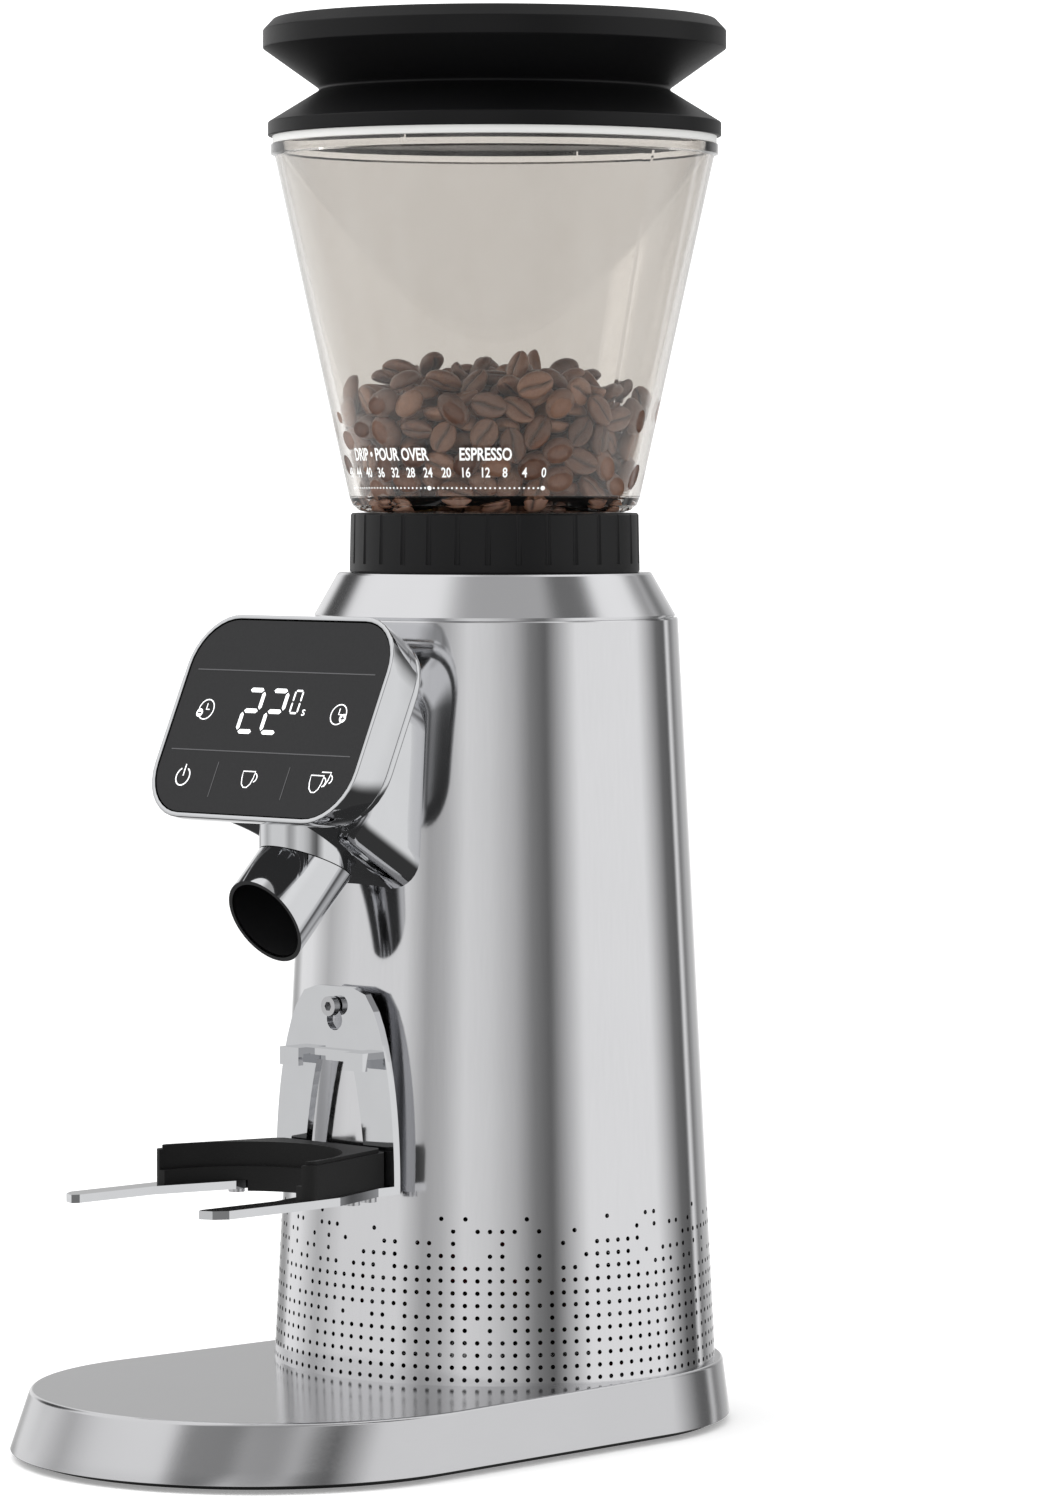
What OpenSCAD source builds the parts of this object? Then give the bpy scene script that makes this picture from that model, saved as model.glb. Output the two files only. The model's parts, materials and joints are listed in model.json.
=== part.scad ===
// Tower coffee grinder with a conical burr set, a touch panel arm and a filter holder fork.
// Millimetres, +Z up, front towards -Y. The origin is on the floor, under the middle of the base.

/* [Tower] */
// Radius of the tower shell where it meets the base
tower_r = 60; // [58:0.5:62]
// Radius of the tower shell at its top edge
tower_top_r = 49.7; // [49:0.1:52]
// Height of the tower shell
tower_h = 200.8; // [190:0.2:230]
// Sheet thickness of the tower shell
tower_wall = 1.2; // [1:0.1:1.6]
// Height of the sloping collar above the tower
collar_h = 11.7; // [11:0.1:15]

/* [Base] */
// Height of the base top above the floor
base_h = 17.4; // [16:0.2:24]
// How far the base's front circle is centred ahead of the tower axis
base_reach = 87; // [75:1:100]
// Radius of the base's front circle at the floor
base_front_r = 66; // [64:0.5:70]
// Radius of the base's back circle at the floor
base_back_r = 64; // [63.5:0.5:68]
// Wall thickness of the base casting
base_wall = 2.4; // [2:0.1:3.5]
// Height of the rubber feet
foot_h = 0.8; // [0.6:0.1:2]

/* [Hopper] */
// Height of the hopper above its seat
hopper_h = 99; // [80:1:120]
// Outer radius of the hopper's mouth
hopper_top_r = 60.4; // [56:0.2:66]
// Outer radius of the hopper just above its rounded foot
hopper_foot_r = 39.4; // [39:0.1:42]
// Wall thickness of the hopper
hopper_wall = 2; // [1.6:0.1:3]
// Height of the lid above the hopper's mouth
lid_h = 33.8; // [30:0.2:40]
// Radius of the lid's upper rim
lid_rim_r = 62.5; // [60:0.5:66]

/* [Grip ring] */
// Outer radius of the grip ring
ring_r = 39.3; // [38.2:0.1:41]
// Height of the grip ring above the collar
ring_h = 16; // [14:0.5:20]
// Number of grooves round the grip ring
ring_grooves = 30; // [20:1:40]

/* [Burrs] */
// Radius of the cone burr's cutting foot
burr_r = 19.6; // [17:0.1:20.5]
// Height of the cone burr
burr_h = 21; // [19:0.5:23]
// Gap between the two burrs at the setting shown
burr_gap = 0.6; // [0.5:0.05:0.9]
// Radius of the drive shaft
shaft_r = 5; // [4:0.25:5.5]

/* [Gears] */
// Size of a gear tooth, as its module
gear_module = 1; // [0.9:0.05:1.05]
// Teeth on each small gear
small_teeth = 12; // [12:1:14]
// Teeth on each large gear
large_teeth = 36; // [30:1:38]
// Slack at the pitch circle of each gear
gear_slack = 0.12; // [0.08:0.01:0.2]

/* [Motor] */
// Outer radius of the motor case
motor_r = 34; // [30:0.5:38]
// Length of the motor case
motor_l = 75; // [60:1:80]
// Radius of the motor shaft
motor_shaft_r = 3; // [2.5:0.25:3.5]

/* [Panel] */
// Width of the control panel
panel_w = 77.3; // [72:0.5:84]
// Height of the control panel along its face
panel_l = 58; // [54:0.5:60]
// Corner radius of the control panel
panel_corner = 15; // [10:0.5:17]
// How far the panel leans back from upright, in degrees
panel_tilt = 24.5; // [20:0.5:28]
// Distance of the panel's centre ahead of the tower axis
panel_reach = 83.3; // [82:0.5:88]
// Distance of the panel's centre below the tower's top edge
panel_drop = 24.8; // [22.8:0.5:26.8]
// Depth of the panel housing
panel_depth = 13; // [12:0.5:15]

/* [Spout] */
// Outer radius of the spout tube
spout_r = 12.1; // [10.5:0.1:12.8]
// Wall thickness of the spout tube
spout_wall = 1.1; // [0.8:0.1:1.6]
// Length of the slanted spout tube along its axis
spout_l = 20.6; // [18:0.2:30]
// Distance of the spout's neck ahead of the tower axis
spout_reach = 71; // [69:0.5:73]
// Distance of the spout's elbow below the tower's top edge
spout_drop = 63.6; // [60.8:0.2:64.8]

/* [Filter holder] */
// Sheet thickness of the holder bracket
sheet_t = 2.2; // [1.6:0.1:3]
// Height of the fork's upper face above the base
fork_rise = 52.6; // [40:0.2:60]
// Distance of the fork's tips ahead of the bracket
fork_l = 73.5; // [60:0.5:75]
// Half of the free width between the fork's tips
fork_half_gap = 23.4; // [21:0.1:26]
// Width of each fork arm
fork_arm_w = 7; // [5:0.5:9]
// Height of the screw that the bracket hangs on, above the fork
hook_rise = 46.3; // [44:0.2:56]
// Thickness of the rubber pad above the fork
pad_t = 10; // [7:0.2:12]
// Radius of the filter basket that the pad cradles
basket_r = 27.3; // [25:0.1:28]

/* [Hidden] */
$fn = 96;
eps = 0.01;       // overshoot of a cutting tool
run_gap = 0.05;   // radial clearance of a running fit
fit_gap = 0.3;    // clearance between parts that are put together and stay still
free_gap = 0.8;   // clearance round parts that turn or slide freely
facet_fn = 32;    // sides of a circle inside a hull

axis_y = (base_reach + base_front_r - base_back_r) / 2;   // tower axis behind the origin
tower_top = base_h + tower_h;
tower_slope = (tower_r - tower_top_r) / tower_h;
function tower_at(z) = tower_r - tower_slope * (z - base_h);

// Places a part drawn round the tower axis into the model's own frame.
module place() {
    translate([0, axis_y, 0]) children();
}

// A tube round the Z axis.
module tube(r_out, r_in, z_low, z_high) {
    translate([0, 0, z_low])
        difference() {
            cylinder(r = r_out, h = z_high - z_low);
            translate([0, 0, -eps]) cylinder(r = r_in, h = z_high - z_low + 2 * eps);
        }
}

// A solid disc or rod round the Z axis.
module rod(r, z_low, z_high) {
    translate([0, 0, z_low]) cylinder(r = r, h = z_high - z_low);
}

// A rectangle with exact round corners, centred.
module rounded(w, h, r) {
    square([w - 2 * r, h], center = true);
    square([w, h - 2 * r], center = true);
    for (x = [-1, 1], y = [-1, 1])
        translate([x * (w / 2 - r), y * (h / 2 - r)]) circle(r = r);
}

// Copies its children to a number of places round the Z axis.
module round_copies(count, start = 0) {
    for (i = [0 : count - 1])
        rotate([0, 0, start + i * 360 / count]) children();
}

// A wire that bends at each of its points, with eight flat sides.
module wire(points, r) {
    for (i = [0 : len(points) - 2]) {
        way = points[i + 1] - points[i];
        turn = atan2(way[1], way[0]);
        lean = acos(way[2] / norm(way));
        reach = norm(way) + (i < len(points) - 2 ? r / 2 : 0);
        translate(points[i]) rotate([0, lean, turn]) cylinder(r = r, h = reach, $fn = 8);
    }
}

// ---- Base ----

base_top_front_r = base_front_r - 0.5;
base_top_back_r = base_back_r - 2;
base_top_reach = base_reach - 6.5;
base_rim_z = 2;              // lower edge of the metal above the floor
base_edge = 0.5;             // bevel of the base's upper edge
base_plate_t = 3;            // thickness of the base's top
cover_t = 2.6;
cover_gap = 0.8;             // clearance of the cover inside the sloping wall
cover_top = foot_h + cover_t;
wire_hole_r = 22;
base_boss_r = 4.5;
base_screw_r = 1.6;
base_screw_points = [
    [44, -base_reach - 5], [-44, -base_reach - 5], [0, -base_reach - 49], [50, 14], [-50, 14]];
foot_r = 7;
foot_points = [[46, -base_reach - 21], [-46, -base_reach - 21], [46, 20], [-46, 20], [0, 48]];

// One level of the base's outline, as two thin discs.
module base_level(z, front_r, back_r, reach) {
    for (spot = [[0, back_r], [-reach, front_r]])
        translate([0, spot[0], z]) cylinder(r = spot[1], h = eps, $fn = 144);
}

// The base's outer form, drawn in by a given wall.
module base_form(wall, z_low, z_high) {
    hull() {
        base_level(z_low, base_front_r - wall, base_back_r - wall, base_reach);
        base_level(z_high - base_edge, base_top_front_r - wall, base_top_back_r - wall, base_top_reach);
        base_level(z_high - eps, base_top_front_r - wall - base_edge,
            base_top_back_r - wall - base_edge, base_top_reach);
    }
}

module base_shell() {
    place() color("silver") difference() {
        union() {
            difference() {
                base_form(0, base_rim_z, base_h);
                base_form(base_wall, base_rim_z - 1, base_h - base_plate_t);
            }
            for (p = base_screw_points)
                translate([p[0], p[1], cover_top])
                    cylinder(r = base_boss_r, h = base_h - base_plate_t + 1 - cover_top);
        }
        rod(wire_hole_r, base_h - base_plate_t - 1, base_h + 1);
        for (p = base_screw_points)
            translate([p[0], p[1], 0]) rod(base_screw_r, 0, base_h - base_plate_t);
        round_copies(4, 45) translate([chassis_screw_at, 0, 0])
            rod(chassis_screw_r, 0, base_h + 1);
    }
}

module base_cover() {
    inset = base_wall + cover_gap;
    place() color("#222222") difference() {
        hull() {
            translate([0, 0, foot_h]) cylinder(r = base_back_r - inset, h = cover_t, $fn = 144);
            translate([0, -base_reach + cover_gap, foot_h])
                cylinder(r = base_front_r - inset, h = cover_t, $fn = 144);
        }
        for (p = base_screw_points) translate([p[0], p[1], 0]) {
            rod(base_screw_r, 0, base_h);
            rod(base_screw_head_r, 0, foot_h + base_screw_head_h);
        }
        for (y = [-14 : 7 : 14])
            translate([-20, y - 1.2, 0]) cube([40, 2.4, base_h]);
    }
}

base_screw_head_r = 3.2;
base_screw_head_h = 1.4;
base_screw_l = 9;

module base_screws() {
    place() color("dimgray") for (p = base_screw_points) translate([p[0], p[1], 0]) {
        rod(base_screw_head_r, foot_h, foot_h + base_screw_head_h);
        rod(base_screw_r, foot_h + base_screw_head_h, foot_h + base_screw_head_h + base_screw_l);
    }
}

module rubber_feet() {
    place() color("#181818") for (p = foot_points)
        translate([p[0], p[1], 0]) rod(foot_r, 0, foot_h);
}

base_weight_r = 40;
base_weight_h = 8;

module base_weight() {
    place() color("slategray") translate([0, -base_top_reach, 0])
        rod(base_weight_r, cover_top, cover_top + base_weight_h);
}

// ---- Tower and chassis ----

chassis_t = 3;
chassis_screw_at = 50;       // radius of the screw circle
chassis_screw_r = 2;
post_r = 4;
post_at = 45;
gearbox_z = tower_top - 77.8;   // underside of the gearbox
chute_hole_w = 32;
chute_hole_low = tower_top - 61.8;
chute_hole_high = tower_top - 10.8;
gland_z = base_h + 14;
gland_r = 5.5;
gland_flange_r = 8;
gland_cord_r = 3.4;

module chassis() {
    rim_r = tower_at(base_h + chassis_t) - tower_wall - fit_gap;
    place() color("#333333") difference() {
        union() {
            tube(rim_r, 38, base_h, base_h + chassis_t);
            round_copies(4, 0) translate([post_at, 0, 0]) rod(post_r, base_h + eps, gearbox_z);
        }
        round_copies(4, 45) translate([chassis_screw_at, 0, 0])
            rod(chassis_screw_r, base_h - 1, base_h + chassis_t + 1);
    }
}

module chassis_screws() {
    place() color("dimgray") round_copies(4, 45) translate([chassis_screw_at, 0, 0]) {
        rod(chassis_screw_r, base_h - base_plate_t, base_h + chassis_t);
        rod(chassis_screw_r + 1.6, base_h - base_plate_t - 2, base_h - base_plate_t);
    }
}

module tower_shell() {
    place() color("silver") difference() {
        translate([0, 0, base_h]) cylinder(r1 = tower_r, r2 = tower_top_r, h = tower_h);
        translate([0, 0, base_h - tower_wall])
            cylinder(r1 = tower_r - tower_wall + tower_slope * tower_wall,
                r2 = tower_top_r - tower_wall - tower_slope * tower_wall, h = tower_h + 2 * tower_wall);
        translate([-chute_hole_w / 2, -tower_r - 1, chute_hole_low])
            cube([chute_hole_w, tower_r, chute_hole_high - chute_hole_low]);
        translate([0, 0, hook_z]) rotate([90, 0, 0]) cylinder(r = hook_thread_r, h = tower_r + 1);
        translate([0, 0, gland_z]) rotate([-90, 0, 0]) cylinder(r = gland_r, h = tower_r + 1);
    }
}

// A flanged gland in the back of the tower, with the hole for the mains lead.
module cord_gland() {
    seat = tower_at(gland_z) + 0.4;
    place() color("#1c1c1c") translate([0, 0, gland_z]) rotate([-90, 0, 0]) difference() {
        union() {
            rod(gland_r, seat - 9, seat + eps);
            rod(gland_flange_r, seat - 9, seat - 6);
            rod(gland_flange_r, seat, seat + 2.4);
        }
        rod(gland_cord_r, seat - 10, seat + 4);
    }
}

// ---- Collar ----

collar_seam = 0.4;
collar_low = tower_top + collar_seam;
collar_top = tower_top + collar_seam + collar_h;
collar_edge_h = 0.4;
collar_flange_t = 2;
collar_wall = 1.2;
collar_low_r = tower_top_r - 0.8;
collar_top_r = collar_low_r - 6.55;
skirt_r = collar_top_r - 5.95;   // outer radius of the grip ring's skirt
collar_bore_r = skirt_r + 0.7;
spigot_r = tower_top_r - tower_wall - fit_gap;
spigot_h = 7;

module top_collar() {
    place() color("silver") rotate_extrude() polygon([
        [collar_low_r, collar_low],
        [collar_low_r, collar_low + collar_edge_h],
        [collar_top_r + 0.4, collar_top - 0.5],
        [collar_top_r, collar_top],
        [collar_bore_r, collar_top],
        [collar_bore_r, collar_top - collar_flange_t],
        [collar_top_r - collar_wall, collar_top - collar_flange_t],
        [spigot_r - collar_wall, collar_low + collar_edge_h],
        [spigot_r - collar_wall, collar_low - spigot_h],
        [spigot_r, collar_low - spigot_h],
        [spigot_r, collar_low]]);
}

// ---- Electrics ----

board_z = base_h + 10;
board_t = 1.6;
board_w = 66;
board_d = 46;
lead_r = 1.1;

module power_board() {
    place() color("darkgreen") translate([-board_w / 2, -board_d / 2, board_z])
        cube([board_w, board_d, board_t]);
}

module board_components() {
    top = board_z + board_t;
    place() {
        color("black") translate([-26, -18, top]) cube([18, 15, 14]);
        color("#303a60") translate([18, -10, top]) cylinder(r = 7, h = 17);
        color("lightgray") for (x = [-24 : 6 : -6]) translate([x, 3, top]) cube([2.5, 16, 13]);
        color("orange") translate([4, 6, top]) cube([16, 12, 12]);
        color("green") translate([-2, -20, top]) cube([10, 7, 9]);
        color("#2b2b2b") round_copies(4, 35)
            translate([board_w / 2 - 1, 0, 0]) rod(2.4, base_h + eps, board_z);
    }
}

module motor_leads() {
    top = board_z + board_t + 9;
    place() color("firebrick") for (x = [0, 6])
        wire([[x, -16.5, top], [x, -16.5, top + 6], [x * 2 - 8, -26, motor_low - 10],
            [x * 2 - 8, -26, motor_low - endcap_h]], lead_r);
}

// ---- Motor ----

mount_t = 3;
motor_top = gearbox_z - mount_t;
motor_low = motor_top - motor_l;
motor_wall = 2;
endcap_h = 5;
rotor_r = motor_r - 10;
motor_bearing_r = 8;
motor_bearing_h = 5;

module motor_case() {
    place() color("#5a5a5e") difference() {
        rod(motor_r, motor_low, motor_top);
        rod(motor_r - motor_wall, motor_low - 1, motor_top - motor_wall - motor_bearing_h);
        rod(motor_bearing_r, motor_low, motor_top - motor_wall);
        rod(motor_shaft_r + free_gap, motor_low, motor_top + 1);
        round_copies(6) translate([motor_r - motor_wall / 2, 0, motor_low + 14])
            rotate([0, 90, 0]) cylinder(r = 4, h = 6, center = true);
    }
}

module motor_endcap() {
    place() color("#2e2e30") difference() {
        rod(motor_r, motor_low - endcap_h, motor_low);
        rod(motor_bearing_r, motor_low - motor_bearing_h + 1, motor_low + 1);
        rod(motor_shaft_r + free_gap, motor_low - endcap_h - 1, motor_low);
        round_copies(5) translate([motor_r * 0.6, 0, 0]) rod(3, motor_low - endcap_h - 1, motor_low + 1);
    }
}

module motor_magnets() {
    place() color("#3a3a3a") difference() {
        tube(motor_r - motor_wall, rotor_r + 1.5, motor_low + 22, motor_top - 12);
        for (turn = [0, 90]) rotate([0, 0, turn])
            translate([-motor_r, -5, motor_low]) cube([2 * motor_r, 10, motor_l]);
    }
}

module motor_bearings() {
    place() color("lightsteelblue") {
        tube(motor_bearing_r, motor_shaft_r + run_gap, motor_top - motor_wall - motor_bearing_h,
            motor_top - motor_wall);
        tube(motor_bearing_r, motor_shaft_r + run_gap, motor_low - motor_bearing_h + 1, motor_low);
    }
}

module motor_mount_ring() {
    place() color("#202020") tube(motor_r - 2, motor_r - 14, motor_top, gearbox_z);
}

// Laminated armature with winding slots.
module motor_rotor() {
    place() color("peru") difference() {
        rod(rotor_r, motor_low + 20, motor_top - 14);
        rod(motor_shaft_r, motor_low, motor_top);
        round_copies(12) translate([rotor_r - 5, -1.5, motor_low]) cube([8, 3, motor_l]);
    }
}

module motor_shaft() {
    place() color("gainsboro") rod(motor_shaft_r, motor_low - 3, pinion_top + 0.5);
}

// ---- Gears ----

pressure_angle = 25;
function involute(angle) = tan(angle) * 180 / PI - angle;
function tooth_half(teeth, r) =
    let (base_r = gear_module * teeth / 2 * cos(pressure_angle),
        slack = gear_slack / (gear_module * teeth) * 180 / PI)
    90 / teeth - slack + involute(pressure_angle) - involute(acos(min(1, base_r / r)));

// Outline of one spur gear, with a tooth on the +X axis.
module gear_outline(teeth) {
    pitch_r = gear_module * teeth / 2;
    base_r = pitch_r * cos(pressure_angle);
    tip_r = pitch_r + gear_module;
    root_r = pitch_r - 1.25 * gear_module;
    low_r = max(base_r, root_r);
    levels = [for (i = [0 : 4]) low_r + (tip_r - low_r) * i / 4];
    polygon([for (tooth = [0 : teeth - 1], side = [-1, 1], i = [0 : 5])
        let (step = side < 0 ? i : 5 - i,
            r = step == 0 ? root_r : levels[step - 1],
            half = tooth_half(teeth, max(r, low_r)),
            angle = tooth * 360 / teeth + side * half)
        r * [cos(angle), sin(angle)]]);
}

module gear(teeth, z_low, z_high, turn = 0) {
    translate([0, 0, z_low]) linear_extrude(height = z_high - z_low)
        rotate([0, 0, turn]) gear_outline(teeth);
}

gear_distance = gear_module * (small_teeth + large_teeth) / 2;
half_tooth = 180 / large_teeth;
pinion_low = gearbox_z + 4.5;
pinion_top = pinion_low + 7.5;
wheel_low = pinion_low + 1;
wheel_top = wheel_low + 6;
output_low = pinion_top + 2;
output_top = output_low + 7;
axle_r = 3;

module motor_pinion() {
    place() color("goldenrod") difference() {
        gear(small_teeth, pinion_low, pinion_top);
        rod(motor_shaft_r, pinion_low - 1, pinion_top + 1);
    }
}

module gear_axle() {
    place() color("gainsboro") translate([gear_distance, 0, 0])
        rod(axle_r, gearbox_z + 1, gearbox_cover_z + 2);
}

module compound_gear() {
    place() color("ivory") translate([gear_distance, 0, 0]) difference() {
        union() {
            gear(large_teeth, wheel_low, wheel_top, 180 + half_tooth);
            gear(small_teeth, wheel_top - eps, output_top + 1, 180);
        }
        rod(axle_r + run_gap, wheel_low - 1, output_top + 2);
    }
}

module output_gear() {
    place() color("goldenrod") difference() {
        gear(large_teeth, output_low, output_top, half_tooth);
        rod(shaft_r, output_low - 1, output_top + 1);
    }
}

// ---- Gearbox ----

gearbox_h = 26;
gearbox_wall = 2;
gearbox_plate_t = 3;
gearbox_cover_z = gearbox_z + gearbox_h;
gearbox_r = gear_distance + gear_module * (large_teeth / 2 + 1) + 2.5 + gearbox_wall;
gearbox_screw_at = gearbox_r - 4;
gearbox_boss_r = 3.2;
bearing_r = 13;
bearing_h = 8;
hub_r = bearing_r + 3;
hub_top = gearbox_cover_z + 20;
lower_bearing_z = gearbox_cover_z + 1;
upper_bearing_z = hub_top - bearing_h;

module gearbox_base() {
    place() color("#46484c") difference() {
        union() {
            rod(gearbox_r, gearbox_z, gearbox_z + gearbox_plate_t);
            tube(gearbox_r, gearbox_r - gearbox_wall, gearbox_z, gearbox_cover_z);
            round_copies(3, 60) translate([gearbox_screw_at, 0, 0])
                rod(gearbox_boss_r, gearbox_z + eps, gearbox_cover_z);
        }
        rod(12, gearbox_z - 1, gearbox_z + gearbox_plate_t + 1);
        translate([gear_distance, 0, 0]) rod(axle_r, gearbox_z + 1, gearbox_cover_z);
        round_copies(3, 60) translate([gearbox_screw_at, 0, 0])
            rod(1.5, gearbox_cover_z - 14, gearbox_cover_z + 1);
    }
}

module gearbox_cover() {
    place() color("#55575b") difference() {
        union() {
            rod(gearbox_r, gearbox_cover_z, gearbox_cover_z + gearbox_plate_t);
            rod(hub_r, gearbox_cover_z, hub_top);
        }
        rod(bearing_r, lower_bearing_z, lower_bearing_z + bearing_h);
        rod(bearing_r, upper_bearing_z, hub_top + 1);
        rod(bearing_r - 2, gearbox_cover_z - 1, hub_top + 1);
        translate([gear_distance, 0, 0]) rod(axle_r, gearbox_cover_z - 1, gearbox_cover_z + 2);
        round_copies(3, 60) translate([gearbox_screw_at, 0, 0])
            rod(1.5, gearbox_cover_z - 1, gearbox_cover_z + gearbox_plate_t + 1);
        round_copies(3, standoff_turn) translate([standoff_at, 0, 0])
            rod(1.5, gearbox_cover_z - 1, gearbox_cover_z + gearbox_plate_t + 1);
    }
}

module gearbox_screws() {
    place() color("dimgray") round_copies(3, 60) translate([gearbox_screw_at, 0, 0]) {
        rod(1.5, gearbox_cover_z - 10, gearbox_cover_z + gearbox_plate_t);
        rod(2.8, gearbox_cover_z + gearbox_plate_t, gearbox_cover_z + gearbox_plate_t + 2);
    }
}

module shaft_bearings() {
    place() color("lightsteelblue") for (z = [lower_bearing_z, upper_bearing_z])
        tube(bearing_r, shaft_r + run_gap, z, z + bearing_h);
}

module shaft_circlip() {
    place() color("dimgray") tube(shaft_r + 2.4, shaft_r, output_top, output_top + 1.2);
}

module burr_shaft() {
    place() color("gainsboro") rod(shaft_r, output_low - 0.5, burr_low + burr_h - 3);
}

// ---- Grinding chamber ----

chamber_floor_z = hub_top + 1;
chamber_floor_t = 3;
chamber_in_z = chamber_floor_z + chamber_floor_t;
chamber_bore_r = 31;
chamber_r = skirt_r + 4.6;
skirt_low = chamber_in_z + 18.4;
chamber_top = collar_top - collar_flange_t;
standoff_at = chamber_r + 3;
standoff_turn = 90;
standoff_r = 3.6;
port_w = 15;
port_h = 13;

module chamber_standoffs() {
    place() color("gainsboro") round_copies(3, standoff_turn) translate([standoff_at, 0, 0])
        tube(standoff_r, 1.5, gearbox_cover_z + gearbox_plate_t, chamber_floor_z);
}

module grind_chamber() {
    place() color("#9a9da1") difference() {
        union() {
            rod(chamber_r, chamber_floor_z, chamber_top);
            round_copies(3, standoff_turn) translate([standoff_at, 0, 0])
                rod(standoff_r, chamber_floor_z, chamber_in_z + 1);
        }
        rod(chamber_bore_r, chamber_in_z, chamber_top + 1);
        rod(skirt_r + run_gap, skirt_low - 0.5, chamber_top + 1);
        rod(seal_r, chamber_floor_z - 1, chamber_in_z + 1);
        translate([-port_w / 2, -chamber_r - 1, chamber_in_z])
            cube([port_w, chamber_r, port_h]);
        round_copies(3, standoff_turn) translate([standoff_at, 0, 0])
            rod(1.5, chamber_floor_z - 1, chamber_in_z + 2);
    }
}

module chamber_screws() {
    place() color("dimgray") round_copies(3, standoff_turn) translate([standoff_at, 0, 0]) {
        rod(1.5, gearbox_cover_z + gearbox_plate_t + 4, chamber_in_z + 1);
        rod(2.6, chamber_in_z + 1, chamber_in_z + 3);
    }
}

seal_r = 11;

module shaft_seal() {
    place() color("#262626") tube(seal_r, shaft_r + fit_gap, chamber_floor_z, chamber_in_z);
}

// ---- Burrs ----

burr_low = chamber_in_z + 7;
land_h = 5;                  // height of the fine cutting land
land_slope = 0.4;            // how fast the land narrows towards the top
cone_top_r = 9;
ring_burr_r = 26;
ring_burr_low = burr_low + 2.5;
ring_burr_h = 14;
sweeper_r = chamber_bore_r - free_gap;

// Turntable with two vanes that push the ground coffee to the port.
module sweeper() {
    place() color("#2a2a2a") difference() {
        union() {
            rod(sweeper_r, chamber_in_z + 1, chamber_in_z + 3);
            rod(12, chamber_in_z + 1, burr_low);
            for (turn = [0, 90]) rotate([0, 0, turn])
                translate([-sweeper_r + 1, -1.2, chamber_in_z + 1]) cube([2 * sweeper_r - 2, 2.4, 4.6]);
        }
        rod(shaft_r, chamber_in_z - 1, burr_low + 1);
    }
}

module cone_burr() {
    land_top_r = burr_r - land_slope * land_h;
    place() color("#77797d") difference() {
        translate([0, 0, burr_low]) {
            cylinder(r1 = burr_r, r2 = land_top_r, h = land_h);
            translate([0, 0, land_h - eps])
                cylinder(r1 = land_top_r, r2 = cone_top_r, h = burr_h - land_h);
        }
        rod(shaft_r, burr_low - 1, burr_low + burr_h + 1);
        round_copies(5) translate([burr_r - 2, 0, burr_low + land_h + 3])
            rotate([20, -32, 0]) cylinder(r = 4, h = burr_h + 6);
        round_copies(20) translate([burr_r, 0, burr_low - 1])
            rotate([14, -14, 0]) cylinder(r = 0.8, h = land_h + 3, $fn = 4);
    }
}

module burr_bolt() {
    top = burr_low + burr_h;
    place() color("dimgray") difference() {
        union() {
            rod(shaft_r, top - 3, top);
            rod(cone_top_r - 1, top, top + 4);
        }
        translate([0, 0, top + 1]) cylinder(r = 3.2, h = 4, $fn = 6);
    }
}

module ring_burr() {
    low_r = burr_r + burr_gap - land_slope * (ring_burr_low - burr_low);
    top_r = low_r + 1.4;
    place() color("#77797d") difference() {
        rod(ring_burr_r, ring_burr_low, ring_burr_low + ring_burr_h);
        translate([0, 0, ring_burr_low - eps])
            cylinder(r1 = low_r, r2 = top_r, h = ring_burr_h + 2 * eps);
        round_copies(12) translate([low_r, 0, ring_burr_low + 2])
            rotate([-16, 6, 0]) cylinder(r = 1.8, h = ring_burr_h + 6);
    }
}

// ---- Burr carrier and grip ring ----

carrier_low = ring_burr_low - 1;
carrier_r = chamber_bore_r + 1;
carrier_top = collar_top + 4;
carrier_shoulder = skirt_low + 1.5;
carrier_screw_at = (ring_burr_r + 18) / 2;

module burr_carrier() {
    burr_top = ring_burr_low + ring_burr_h;
    place() color("#b08d57") difference() {
        union() {
            rod(chamber_bore_r - run_gap, carrier_low, carrier_shoulder);
            rod(carrier_r, carrier_shoulder, carrier_top);
        }
        rod(ring_burr_r, carrier_low - 1, burr_top);
        rod(18, burr_top - 1, carrier_top);
        translate([0, 0, burr_top + 3])
            cylinder(r1 = 18, r2 = carrier_r - 2.5, h = carrier_top - burr_top - 3 + eps);
        round_copies(3) translate([carrier_screw_at, 0, 0]) rod(1.25, burr_top - 1, burr_top + 3);
        round_copies(3) translate([carrier_screw_at, 0, 0]) rod(2.3, burr_top + 3, carrier_top + 1);
    }
}

module ring_burr_screws() {
    burr_top = ring_burr_low + ring_burr_h;
    place() color("dimgray") round_copies(3) translate([carrier_screw_at, 0, 0]) {
        rod(1.25, burr_top, burr_top + 3);
        rod(2.1, burr_top + 3, burr_top + 4.6);
    }
}

ring_low = collar_top + 0.1;
ring_top = ring_low + ring_h;
groove_r = 0.9;
groove_low = ring_low + 2.4;
seat_r = 33.3;               // bore that takes the hopper's foot
seat_depth = 8;

module grip_ring() {
    place() color("#1e1e20") difference() {
        union() {
            rotate_extrude() polygon([
                [carrier_r + run_gap, ring_low], [ring_r - 0.3, ring_low], [ring_r, ring_low + 0.5],
                [ring_r - 0.3, ring_top - 0.5], [ring_r - 0.8, ring_top], [carrier_r + run_gap, ring_top]]);
            tube(skirt_r, carrier_r + run_gap, skirt_low, ring_low + eps);
        }
        rod(seat_r, ring_top - seat_depth, ring_top + 1);
        round_copies(ring_grooves) translate([ring_r + groove_r * 0.35, 0, groove_low])
            cylinder(r = groove_r, h = ring_h, $fn = 24);
    }
}

// ---- Hopper and lid ----

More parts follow.
